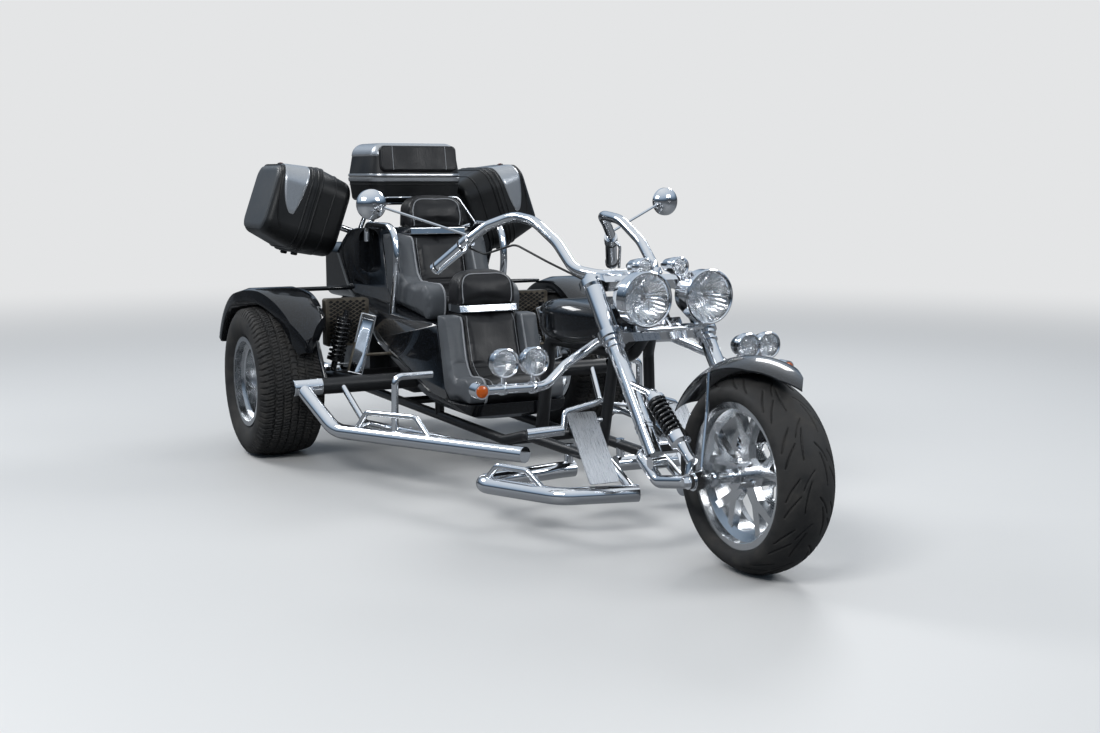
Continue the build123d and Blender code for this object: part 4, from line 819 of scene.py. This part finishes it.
top_seam = at(*TOP_CASE_SEAM)
top_lid_skin = case_skin(top_seam, X, Y, Z, **TOP_CASE, depth=153, taper=10, edge=56)
top_base_skin = case_skin(top_seam, X, Y, -Z, **TOP_CASE, depth=112, taper=8, edge=20)
bands("top_case_dome", [(top_lid_skin, 0.62, 2.0, 2.6, 40, 0.02)], case_silver, "top_lid")
bands("top_case_lid_band", [(top_lid_skin, 0.012, 0.10, 4.0, 8, 0.2)], case_silver, "top_lid")
bands("top_case_base_band", [(top_base_skin, 0.012, 0.17, 4.0, 8, 0.2)], case_silver, "chassis")
bands("top_case_base_bead", [(top_base_skin, 0.24, 0.29, 2.0, 6, 0.3)], case_black, "chassis")
for hand, side in HANDS:
    out = np.array([0.0, side * np.cos(SIDE_CASE_TILT), np.sin(SIDE_CASE_TILT)])
    up = np.array([0.0, -side * np.sin(SIDE_CASE_TILT), np.cos(SIDE_CASE_TILT)])
    seam = on(side, SIDE_CASE_SEAM)
    lid = case_skin(seam + out * SEAM_GAP, X, up, out, **SIDE_CASE, depth=190, taper=12, edge=40)
    base = case_skin(seam - out * SEAM_GAP, X, up, -out, **SIDE_CASE, depth=170, taper=8, edge=40)
    lid_body = "side_lid_" + hand
    bands("side_case_panel_" + hand,
          [(lid, lambda p: 0.36 - 0.13 * grow(p), lambda p: 0.40 + 0.33 * grow(p), 3.0, 24, 0.1)],
          case_silver, lid_body, 70, (-0.035, 0.30))
    bands("side_case_groove_" + hand,
          [(lid, lambda p: 0.42 + 0.36 * grow(p), lambda p: 0.455 + 0.37 * grow(p), 3.6, 8, 0.3)],
          lamp_black, lid_body, 70, (-0.10, 0.36))
    # The far face's plate is drawn grey: painted sunlight on black ABS
    bands("side_case_face_" + hand, [(lid, 0.86, 2.0, 2.4, 30, 0.03)], case_black_painted_sunlit, lid_body)
    bands("side_case_lid_ridges_" + hand, [(lid, 0.012, 0.07, 4.5, 8, 0.3), (lid, 0.13, 0.185, 4.0, 8, 0.3)],
          case_black, lid_body)
    bands("side_case_base_ridge_" + hand, [(base, 0.012, 0.085, 4.5, 8, 0.3), (base, 0.40, 0.45, 3.0, 8, 0.3)],
          case_black, "chassis")
    lock = lid(*LOCK_PLACE, 1.0)
    face = lid(*LOCK_PLACE, 2.0) - lock
    piece("side_case_lock_seat_" + hand, [turned(lock, face, LOCK_SEAT, 40)], lamp_black, lid_body)
    piece("side_case_lock_" + hand, [turned(lock, face, disc(0.008, 0.005, 0.0085), 32)], red, lid_body)
    feet = [turned(base(*place, 2.0), base(*place, 3.0) - base(*place, 2.0), CASE_FOOT, 24) for place in FOOT_PLACES]
    piece("side_case_feet_" + hand, feet, lamp_black, "chassis")

# Bent bars: polished tube with smooth bends, their caps and clamps, and the exhausts' tips
BAR_NODES = {  # node: its body, then for each bar its bar radius and its x, y, z, bend radius stations
    "handlebar": ("steering", [
        (19, [(1744, 0, 878, 0), (1744, 104, 878, 60), (1672, 166, 894, 90), (1560, 175, 985, 200),
              (1400, 184, 1058, 260), (1244, 190, 1073, 120), (1160, 262, 1034, 90), (*BAR_SHOULDER, 60),
              (*BAR_END, 0)]),
        (16, [(1744, 60, 878, 0), (1846, 60, 879, 0)]),
    ]),
    "side_bars": ("chassis", [
        (30, [(440, 770, 345, 0), (637, 700, 198, 160), (1557, 303, 225, 0)]),
        (13, [(450, 600, 352, 0), (600, 560, 215, 60), (1180, 440, 232, 0)]),
        (9, [(700, 662, 205, 0), (640, 542, 218, 0)]),
        (9, [(900, 575, 205, 0), (840, 455, 218, 0)]),
        (11, [(742, 655, 205, 0), (812, 629, 293, 30), (1062, 522, 303, 30), (1138, 486, 214, 0)]),
    ]),
    "foot_loops": ("chassis", [
        (30, [(1990, 90, 150, 0), (1918, 353, 150, 120), (1590, 520, 150, 50), (1534, 148, 150, 30),
              (1534, 90, 150, 0)]),
        (11, [(1620, 492, 160, 0), (1680, 474, 225, 34), (1800, 420, 225, 34), (1860, 380, 160, 0)]),
        (16, [(1534, 112, 160, 0), (1534, 108, 245, 0)]),
        (16, [(1985, 108, 160, 0), (1780, 108, 250, 0)]),
        (14, [(938, 560, 235, 0), (938, 556, 447, 30), (938, 400, 447, 0)]),
        (19, [(1705, 370, 330, 0), (1739, 245, 341, 0)]),
        (12, [(1739, 245, 341, 0), (1722, 228, 400, 20), (1766, 94, 440, 0)]),
    ]),
    "seat_rails": ("chassis", [
        (16, [(-100, 275, 925, 0), (-95, 275, 1000, 40), (200, 262, 1000, 90), (240, 262, 850, 300),
              (170, 262, 600, 0)]),
        (5, [(-90, 268, 1000, 0), (-110, 186, 1122, 40), (-110, 0, 1122, 0)]),
    ]),
}
for node_name, (body, bars) in BAR_NODES.items():
    runs = []
    for side in SIDES:
        for r, stations in bars:
            route = rounded([(*on(side, station), station[3] * MM) for station in stations], 14)
            runs.append(tube(route, r * MM, 28))
    piece("polished_" + node_name, runs, chrome, body, sharp=60, instead=node_name)

# outlines of turned parts, as (radius, place along the axis) in metres
TUBE_CAP = [(0, 0), (0.0362, 0), (0.0362, 0.119), (0.0335, 0.1215), (0, 0.1215)]
EXHAUST_TIP = [(0.027, -0.03), (0.033, -0.03), (0.0345, -0.002), (0.0335, 0.004), (0.029, 0.004), (0.027, 0)]
CLAMP_AXIS = np.array([-0.15, 0.99, 0.0])  # along the highway bar, on the left
CLAMP = [(0.0162, -0.011), (0.0205, -0.011), (0.0215, -0.009), (0.0215, 0.009), (0.0205, 0.011), (0.0162, 0.011)]
LAMP_FOOT = [(0, 0), (0.011, 0), (0.013, 0.003), (0.013, 0.009), (0, 0.009)]
cap_rings, tips, bore_soot_and_shade, clamps = [], [], [], []
for side in SIDES:
    cap_rings.append(turned(on(side, TUBE_SLEEVE), Y * side, TUBE_CAP, 64))
    cap_rings.append(turned(on(side, TUBE_RING), Y * side, hoop(0.030, 0.0375, 0, 0.006), 64))
    tips.append(turned(on(side, EXHAUST_END), -X, EXHAUST_TIP, 64))
    # A near-black disc in each exhaust's mouth: the bore's soot, and painted shade of its depth
    bore_soot_and_shade.append(turned(on(side, EXHAUST_END), -X, disc(0.0275, -0.004, 0.003), 48))
    for station in LAMP_CLAMPS:
        middle = on(side, station)
        clamps.append(turned(middle, side * CLAMP_AXIS, CLAMP, 40))
        clamps.append(turned(middle + X * 0.019, X, bolt(0.010), 6))
        clamps.append(turned(middle + X * 0.002 + Z * 0.036, Z, LAMP_FOOT, 32))
piece("cross_tube_cap_sleeves", cap_rings, chrome, "chassis")
piece("exhaust_tip_rings", tips, chrome, "chassis")
piece("exhaust_bores", bore_soot_and_shade, lamp_black, "chassis")
piece("driving_lamp_clamps", clamps, chrome, "chassis")

# Slanted bright plates before the radiators, and the dark fins behind their mesh
PLATE_LEAN, PLATE_THICKNESS = 0.28, 0.0045  # its width's rise outwards; metres
PLATE = [(-28, -124, 3), (28, -124, 3), (28, 124, 3), (-28, 124, 3), (-28, -124, 3)]  # across, up, corner radius, mm
PLATE_RIM = [(-33, -129, 4), (33, -129, 4), (33, 129, 4), (-33, 129, 4), (-33, 0, 4)]
FIN_ACROSS, FIN_UP, FIN_THICKNESS = 0.096, 0.103, 0.0008  # half width, half height and thickness, metres
slat_faces, slat_rims, fins = [], [], []
for side in SIDES:
    lean = np.array([0.0, 1.0, side * PLATE_LEAN])
    lean /= np.linalg.norm(lean)
    rise = np.cross(X, lean)
    middle = on(side, BRIGHT_PLATE)
    corner = rounded(PLATE, 4) / 1000.0
    flat = middle + corner[:, :1] * lean + corner[:, 1:] * rise
    back = np.stack([flat, 0 * flat + middle])
    slat_faces.append(slab(back + X * PLATE_THICKNESS, back))
    edge = rounded(PLATE_RIM, 4) / 1000.0
    slat_rims.append(tube(middle + edge[:, :1] * lean + edge[:, 1:] * rise, 0.0028, 8))
    fin = np.array([[on(side, RADIATOR_FACE) + Y * y + Z * z for y in (-FIN_ACROSS, FIN_ACROSS)]
                    for z in (-FIN_UP, FIN_UP)])
    fins.append(slab(fin, fin - X * FIN_THICKNESS))
piece("radiator_fin_faces", fins, lamp_black, "chassis")
piece("radiator_slat_faces", slat_faces, chrome, "chassis")
piece("radiator_slat_rims", slat_rims, case_silver, "chassis")

# Springs and dampers
TOP_CUP = [(0, -0.014), (0.017, -0.014), (0.020, -0.010), (0.020, 0.012), (0.033, 0.018), (0.033, 0.031),
           (0.029, 0.033), (0, 0.033)]
LOWER_CUP = [(0, 0.178), (0.033, 0.178), (0.034, 0.181), (0.034, 0.212), (0.028, 0.218), (0.022, 0.222),
             (0.016, 0.262), (0.018, 0.266), (0.018, 0.292), (0, 0.292)]
REAR_DAMPER = [(0, 0.0), (0.014, 0.0), (0.014, 0.03), (0.038, 0.034), (0.038, 0.044), (0.024, 0.046),
               (0.024, 0.210), (0.038, 0.212), (0.038, 0.226), (0.013, 0.230), (0.013, 0.273), (0, 0.273)]
front_wire, front_body, front_cups, rear_wire, rear_body = [], [], [], [], []
for side in SIDES:
    top, foot = on(side, FRONT_SHOCK_TOP), on(side, FRONT_SHOCK_FOOT)
    along = (foot - top) / np.linalg.norm(foot - top)
    front_wire.append(coil(top + along * 0.030, along, length=0.150, radius=0.0265, wire=0.0052, turns=8.5))
    front_body.append(turned(top, along, disc(0.019, 0.02, 0.16), 32))
    front_cups += [turned(top, along, TOP_CUP, 40), turned(top, along, LOWER_CUP, 40)]
    front_cups += [tube(np.array([on(side, start), on(side, end)]), r, 20) for start, end, r in FRONT_SHOCK_ARMS]
    top, foot = on(side, REAR_SHOCK_TOP), on(side, REAR_SHOCK_FOOT)
    along = (foot - top) / np.linalg.norm(foot - top)
    rear_wire.append(coil(top + along * 0.042, along, length=0.172, radius=0.0315, wire=0.0062, turns=9))
    rear_body.append(turned(top, along, REAR_DAMPER, 36))
piece("front_spring_coils", front_wire, spring_black, "steering")
piece("front_damper_bodies", front_body, spring_black, "steering")
piece("front_shock_cups", front_cups, chrome, "steering", instead="front_shocks")
piece("rear_spring_coils", rear_wire, spring_black, "chassis")
piece("rear_damper_bodies", rear_body, spring_black, "chassis", instead="rear_shocks")


# Lamps: bowls in facets, bulbs, fluted glass and rims
def lamp_bowl(front, r, deep, facets):
    """A reflector: the point at angle u and share v of the radius lies deep * (1 - v ** 2) behind the rim, pressed in
    by a scallop |sin(facets u / 2)| that grows with v, and by steps between its rings."""
    u = np.linspace(0, 2 * np.pi, facets * 8, endpoint=False)[:, None]
    v = np.linspace(0.10, 1.0, 48)[None, :]
    steps = 0.018 * r * ((v * 5.0) % 1.0)
    back = deep * (1 - v ** 2) + 0.05 * r * v * np.abs(np.sin(u * facets / 2)) * (1 - v ** 6) + steps * (v < 0.97)
    radius = v * r + 0 * u
    inner = np.stack([front[0] - back, front[1] + radius * np.cos(u), front[2] + radius * np.sin(u)], axis=-1)
    outer = inner + np.array([-0.0012, 0, 0])
    return surface(np.concatenate([inner, outer[:, ::-1]], axis=1), wrap_rows=True, wrap_columns=True)


def lamp_glass_dome(front, r, bulge, flutes):
    """A lens: its outside bulges as bulge * (1 - v ** 2), and its inside carries upright flutes in its lower half."""
    u = np.linspace(0, 2 * np.pi, 144, endpoint=False)[:, None]
    v = np.linspace(0.002, 1.0, 40)[None, :]
    y, z = v * np.cos(u), v * np.sin(u)
    outside = front[0] + bulge * (1 - v ** 2) + 0 * u
    ripple = 0.0006 * np.sin(flutes * y * np.pi) * np.clip(-z * 4 + 0.4, 0, 1)
    ripple = ripple + 0.0004 * np.sin(flutes * 0.7 * y * np.pi)
    inside = outside - 0.0035 - ripple * (v < 0.95)
    rows = [np.stack([depth, front[1] + r * y, front[2] + r * z], axis=-1) for depth in (outside, inside)]
    return surface(np.concatenate([rows[0], rows[1][:, ::-1]], axis=1), wrap_rows=True, wrap_columns=True)


def lamp_set(name, fronts, r, body, deep, bulge, facets, flutes, instead=None):
    """Bowls, bulbs, glass and rims of like lamps of radius r."""
    bowls = [lamp_bowl(f + X * -0.006, r - 0.005, deep, facets) for f in fronts]
    piece(name + "_reflectors", bowls, reflector, body, sharp=14)
    bulb = [(0, 0), (r * 0.12, 0), (r * 0.12, deep * 0.35), (r * 0.17, deep * 0.36), (r * 0.17, deep * 0.62),
            (r * 0.12, deep * 0.72), (0, deep * 0.74)]
    bulbs = [turned(f + X * (-deep - 0.006), X, bulb, 32) for f in fronts]
    piece(name + "_bulb_caps", bulbs, reflector, body)
    domes = [lamp_glass_dome(f + X * -0.004, r - 0.0035, bulge, flutes) for f in fronts]
    piece(name + "_glass", domes, glass, body, 60, instead)
    rim = [(r - 0.0045, -0.004), (r - 0.0045, 0.001), (r - 0.001, 0.004), (r + 0.003, 0.002), (r + 0.0035, -0.004),
           (r + 0.0025, -0.012), (r, -0.014)]
    rims = [turned(f, X, rim, 96) for f in fronts]
    piece(name + "_rims", rims, chrome, body)


headlamp_fronts = [on(side, HEADLAMP) for side in SIDES]
pod_fronts = [on(side, POD_LAMP) for side in SIDES]
lamp_set("headlamp", headlamp_fronts, 0.090, "steering", deep=0.062, bulge=0.012, facets=22, flutes=26,
         instead="headlamp_lenses")
lamp_set("pod_lamp", pod_fronts, 0.030, "steering", deep=0.024, bulge=0.003, facets=12, flutes=10)
driving_fronts = [on(side, station) for side in SIDES for station in DRIVING_LAMPS]
lamp_set("driving_lamp", driving_fronts, 0.047, "chassis", deep=0.034, bulge=0.006, facets=16, flutes=16,
         instead="driving_lamp_lenses")
SIGNAL_LENS = [(0, -0.002), (0.021, -0.002), (0.021, 0.003), (0.015, 0.008), (0, 0.011)]
signals = [turned(on(side, TURN_SIGNAL), X, SIGNAL_LENS, 40) for side in SIDES]
piece("turn_signal_lenses", signals, amber, "chassis")


# Piping, stitching and beads laid on the cushions and the tub
def laid(path, target, lift):
    """A path moved onto a mesh, lift metres off its surface."""
    mesh = bpy.data.meshes.new("laid")
    mesh.vertices.add(len(path))
    mesh.vertices.foreach_set("co", np.asarray(path, float).ravel())
    guide = linked("laid", mesh)
    wrap = guide.modifiers.new("wrap", "SHRINKWRAP")
    wrap.target = target
    wrap.wrap_mode = "ABOVE_SURFACE"
    wrap.offset = lift
    points = places(guide.evaluated_get(bpy.context.evaluated_depsgraph_get()))
    bpy.data.objects.remove(guide)
    return points


PIPING, BEAD, SEAM, STITCH = 0.0042, 0.0042, 0.0024, 0.0012  # radii, metres
BOLSTER_ACROSS, STITCH_ACROSS = 142, 108  # mm from the middle
PAD_SEAMS = ((600, 690, 112, 130), (70, 1000, 112, 128))  # x, z, half width and height of a head pad's seam, mm
piping, stitches, beads, pad_seams = [], [], [], []
STITCHED = [  # cushion, then the run of its two seams as x, z, corner radius
    (passenger_cushion, [(84, 940, 5), (150, 726, 90), (470, 694, 30)]),
    (driver_cushion, [(622, 640, 5), (690, 432, 70), (762, 386, 50), (912, 392, 30)]),
]
BOLSTER_RUNS = [  # outline of each pair of bolsters, as x, z, corner radius, from the backrest's top to the front
    [(114, 952, 20), (200, 766, 90), (502, 754, 66), (482, 610, 20)],
    [(642, 636, 20), (708, 450, 70), (748, 400, 60), (942, 402, 62), (884, 282, 20)],
]
for run in BOLSTER_RUNS:
    for side in SIDES:
        flat = resampled(rounded(run), 70)
        path = at(0, side * BOLSTER_ACROSS, 0) + np.stack([flat[:, 0], 0 * flat[:, 0], flat[:, 1]], axis=-1) / 1000.0
        piping.append(tube(laid(path, bolster_cushions, 0.001), PIPING, 10))
for x, z, wide, high in PAD_SEAMS:
    across = rounded([(-wide, 0, 5), (-wide, high, 74), (wide, high, 74), (wide, 0, 5)], 16)
    flat = resampled(across, 90)
    path = at(x, 0, z) + np.stack([-0.12 * flat[:, 1], flat[:, 0], flat[:, 1]], axis=-1) / 1000.0
    stitches.append(tube(laid(path, pad_cushions, 0.0006), SEAM, 8))
for side in SIDES:
    for cushion, run in STITCHED:
        flat = resampled(rounded(run), 60)
        path = at(0, side * STITCH_ACROSS, 0) + np.stack([flat[:, 0], 0 * flat[:, 0], flat[:, 1]], axis=-1) / 1000.0
        stitches.append(tube(laid(path, cushion, 0.0003), STITCH, 6))
piece("seat_piping", piping, piping_vinyl, "chassis")
TUB_EDGE = np.array([  # x, y, z down the tub's outer edge, from the backrest to the footwell
    (-118, 345, 975), (-132, 384, 885), (-146, 340, 715), (-120, 335, 690), (60, 333, 588), (200, 331, 515),
    (424, 300, 412), (520, 280, 352), (600, 262, 322),
], float)
for side in SIDES:
    run = smooth_run(TUB_EDGE * (1, side, 1), 160)
    beads.append(tube(laid(np.array([at(*p) for p in run]), tub, 0.001), BEAD, 10))
piece("tub_edge_beads", beads, lacquer, "chassis")
piece("seat_stitching", stitches, piping_vinyl, "chassis")
case_pad_lean = np.radians(10.0)
seam_run = np.linspace(-0.054, 0.054, 12)[:, None] * np.array([-np.sin(case_pad_lean), 0, np.cos(case_pad_lean)])
for side in SIDES:
    pad_seams.append(tube(on(side, PAD_SEAM) + seam_run, 0.0016, 6))
piece("case_pad_seams", pad_seams, piping_vinyl, "top_lid")

# Bolts, nuts and clamp rings
rake = np.radians(38.0)
fork_dir = np.array([np.sin(rake), 0, -np.cos(rake)])
fork_front = np.array([np.cos(rake), 0, np.sin(rake)])
fork_tops = [on(side, FORK_TOP) for side in SIDES]
AXLE_NUT = [(0, -0.002), (0.017, -0.002), (0.017, 0.010), (0.013, 0.018), (0, 0.021)]
FORK_CAP = [(0, -0.002), (0.027, -0.002), (0.027, 0.003), (0.017, 0.006), (0.017, 0.013), (0, 0.013)]
FORK_RINGS = ((0.262, 0.0345), (0.560, 0.0305), (0.575, 0.0305))  # place down the tube, outer radius
HUB_CAP = [(0, -0.002), (0.040, -0.002), (0.040, 0.004), (0.030, 0.014), (0, 0.018)]
nuts = [turned(on(side, AXLE_END), Y * side, AXLE_NUT, 6) for side in SIDES]
caps = [turned(top - fork_dir * 0.014, -fork_dir, FORK_CAP, 48) for top in fork_tops]
stem_nut = turned(on(0, FORK_TOP) + fork_front * 0.040 - fork_dir * 0.020, -fork_dir, bolt(0.030), 6)
clamp_bolts = [turned(top + fork_dir * along + fork_front * 0.046, fork_front, bolt(0.013), 6)
               for top in fork_tops for along in (0.012, 0.217)]
piece("fork_caps_and_nuts", nuts + caps + [stem_nut] + clamp_bolts, chrome, "steering")
rings = [turned(top + fork_dir * along, fork_dir, hoop(0.027, outer, 0, 0.006), 64)
         for top in fork_tops for along, outer in FORK_RINGS]
piece("fork_rings", rings, chrome, "steering")
for hand, side in HANDS:
    middle = on(side, REAR_WHEEL)
    seat = middle - Y * side * 0.026
    lugs = bolt_circle(seat, Y * side, 0.062, np.linspace(0, 2 * np.pi, 5, endpoint=False), 0.019)
    cap = turned(middle, Y * side, HUB_CAP, 48)
    rim_studs = bolt_circle(seat, Y * side, 0.118, np.linspace(0, 2 * np.pi, 20, endpoint=False) + 0.16, 0.010)
    piece("rear_wheel_nuts_" + hand, lugs + [cap] + rim_studs, chrome, "rear_wheel_" + hand)
hub_bolts = bolt_circle(at(*FRONT_WHEEL) - Y * 0.039, -Y, 0.050, np.radians(90 + 36 + 72 * np.arange(5)), 0.012)
piece("front_hub_bolts", hub_bolts, chrome, "front_wheel")

# Mirror glass and the grips' rings
GRIP_RING = [(0.0235, 0), (0.0262, 0.0012), (0.0262, 0.0048), (0.0235, 0.006)]
bar_rings, mirror_faces = [], []
for side in SIDES:
    low, tip = on(side, BAR_SHOULDER), on(side, BAR_END)
    run = (tip - low) / np.linalg.norm(tip - low)
    start = low + (tip - low) * 0.27
    bar_rings += [turned(start + run * place, run, GRIP_RING, 48) for place in (0.000, 0.140)]
    mirror_faces.append(turned(on(side, MIRROR) - X * 0.0052, -X, disc(0.0535, 0, 0.001), 64))
piece("grip_rings", bar_rings, soft_rubber, "steering")
piece("mirror_glass", mirror_faces, reflector, "steering")

# Stage: floor, light and camera
BACKDROP = "#E4E5E6"
MIX_A, MIX_B, MIX_OUT = 6, 7, 2  # colour sockets of a Mix node
PHOTO_WIDTH, FOCAL_LENGTH = 1100.0, 1394.93  # of the photograph, in its pixels
SENSOR_WIDTH = 36.0  # mm
CAMERA_STATION = (5967.159, -2535.97, 1224.866)
CAMERA_AHEAD, CAMERA_ACROSS = (-0.8756, 0.4635, -0.1359), (0.4679, 0.8838, 0.0)
SKY_STOPS = [  # share of the way from just below the level up to overhead, colour
    (0.0, "#8B8D90"), (0.08, "#6A6E73"), (0.14, "#2E3338"), (0.26, "#5F7184"), (0.42, "#A9BBCF"), (1.0, "#EDF2F7"),
]


def studio():
    """A pale floor that fades into a pale background, four soft lamps and the photograph's camera."""
    made, tree, coord = finish("painted_studio_floor", Roughness=0.55)
    shader = tree.nodes["Principled BSDF"]
    rays = add(tree, "LightPath")
    tone = add(tree, "Mix", {"data_type": "RGBA", MIX_A: linear("#77797B"), MIX_B: linear("#D8D8D7")},
               {"Factor": rays.outputs["Is Camera Ray"]})
    tree.links.new(shader.inputs["Base Color"], tone.outputs[MIX_OUT])
    far = add(tree, "VectorMath", {"operation": "LENGTH"}, {0: coord})
    edge = add(tree, "MapRange", {"From Min": 2.5, "From Max": 11.0, "interpolation_type": "SMOOTHSTEP"},
               {"Value": far.outputs["Value"]})
    beyond = add(tree, "Mix", {"data_type": "RGBA", MIX_A: linear("#5E6165"), MIX_B: linear(BACKDROP)},
                 {"Factor": rays.outputs["Is Camera Ray"]})
    plain = add(tree, "Emission", {}, {"Color": beyond.outputs[MIX_OUT]})
    blend = add(tree, "MixShader", {}, {0: edge, 1: shader, 2: plain})
    tree.links.new(tree.nodes["Material Output"].inputs["Surface"], blend.outputs["Shader"])
    reach = 60.0  # half the floor's side, metres
    mesh = bpy.data.meshes.new("floor")
    mesh.from_pydata([(-reach, -reach, 0), (reach, -reach, 0), (reach, reach, 0), (-reach, reach, 0)], [],
                     [(0, 1, 2, 3)])
    mesh.materials.append(made)
    linked("floor", mesh)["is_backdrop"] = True

    world = bpy.data.worlds.new("studio")
    bpy.context.scene.world = world
    world.use_nodes = True
    sky = world.node_tree
    background = sky.nodes["Background"]
    direction = add(sky, "TexCoord").outputs["Generated"]
    height = add(sky, "SeparateXYZ", {}, {"Vector": direction}).outputs["Z"]
    raised = add(sky, "MapRange", {"span": (-0.1, 1.0, 0.0, 1.0)}, {"Value": height})
    tone = add(sky, "ValToRGB", {"stops": SKY_STOPS}, {"Fac": raised})
    rays = add(sky, "LightPath")
    shown = add(sky, "Mix", {"data_type": "RGBA", MIX_B: linear(BACKDROP)},
                {"Factor": rays.outputs["Is Camera Ray"], MIX_A: tone})
    sky.links.new(background.inputs["Color"], shown.outputs[MIX_OUT])
    fill = add(sky, "Math", {"operation": "MULTIPLY_ADD", 1: -0.5, 2: 1.0}, {0: rays.outputs["Is Diffuse Ray"]})
    sky.links.new(background.inputs["Strength"], fill.outputs["Value"])

    lamps = [  # place, aims at, size in metres, power in watts
        ((3.6, -4.2, 4.4), (0.2, 0.0, 0.5), 2.6, 190),
        ((4.2, 3.4, 3.6), (0.4, 0.0, 0.5), 2.4, 100),
        ((-3.8, -3.0, 4.2), (-0.4, 0.0, 0.6), 2.4, 130),
        ((-2.6, 3.8, 4.0), (-0.4, 0.0, 0.6), 2.2, 90),
    ]
    for i, (place, target, size, power) in enumerate(lamps):
        data = bpy.data.lights.new(f"softbox_{i}", "AREA")
        data.shape = "RECTANGLE"
        data.size = size
        data.size_y = size * 0.6
        data.energy = power
        lamp = linked(data.name, data)
        lamp.location = place
        lamp.rotation_euler = (Vector(target) - Vector(place)).to_track_quat("-Z", "Y").to_euler()

    data = bpy.data.cameras.new("camera")
    data.sensor_width = SENSOR_WIDTH
    data.lens = FOCAL_LENGTH / PHOTO_WIDTH * SENSOR_WIDTH
    data.clip_end = 200.0
    camera = linked("camera", data)
    ahead = Vector(CAMERA_AHEAD).normalized()
    across = Vector(CAMERA_ACROSS)
    across = (across - ahead * across.dot(ahead)).normalized()
    up = across.cross(ahead)
    camera.matrix_world = Matrix.Translation(at(*CAMERA_STATION)) @ Matrix(
        (across, up, -ahead)).transposed().to_4x4()
    bpy.context.scene.camera = camera


studio()
bpy.context.scene.view_settings.view_transform = "Standard"

low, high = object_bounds()
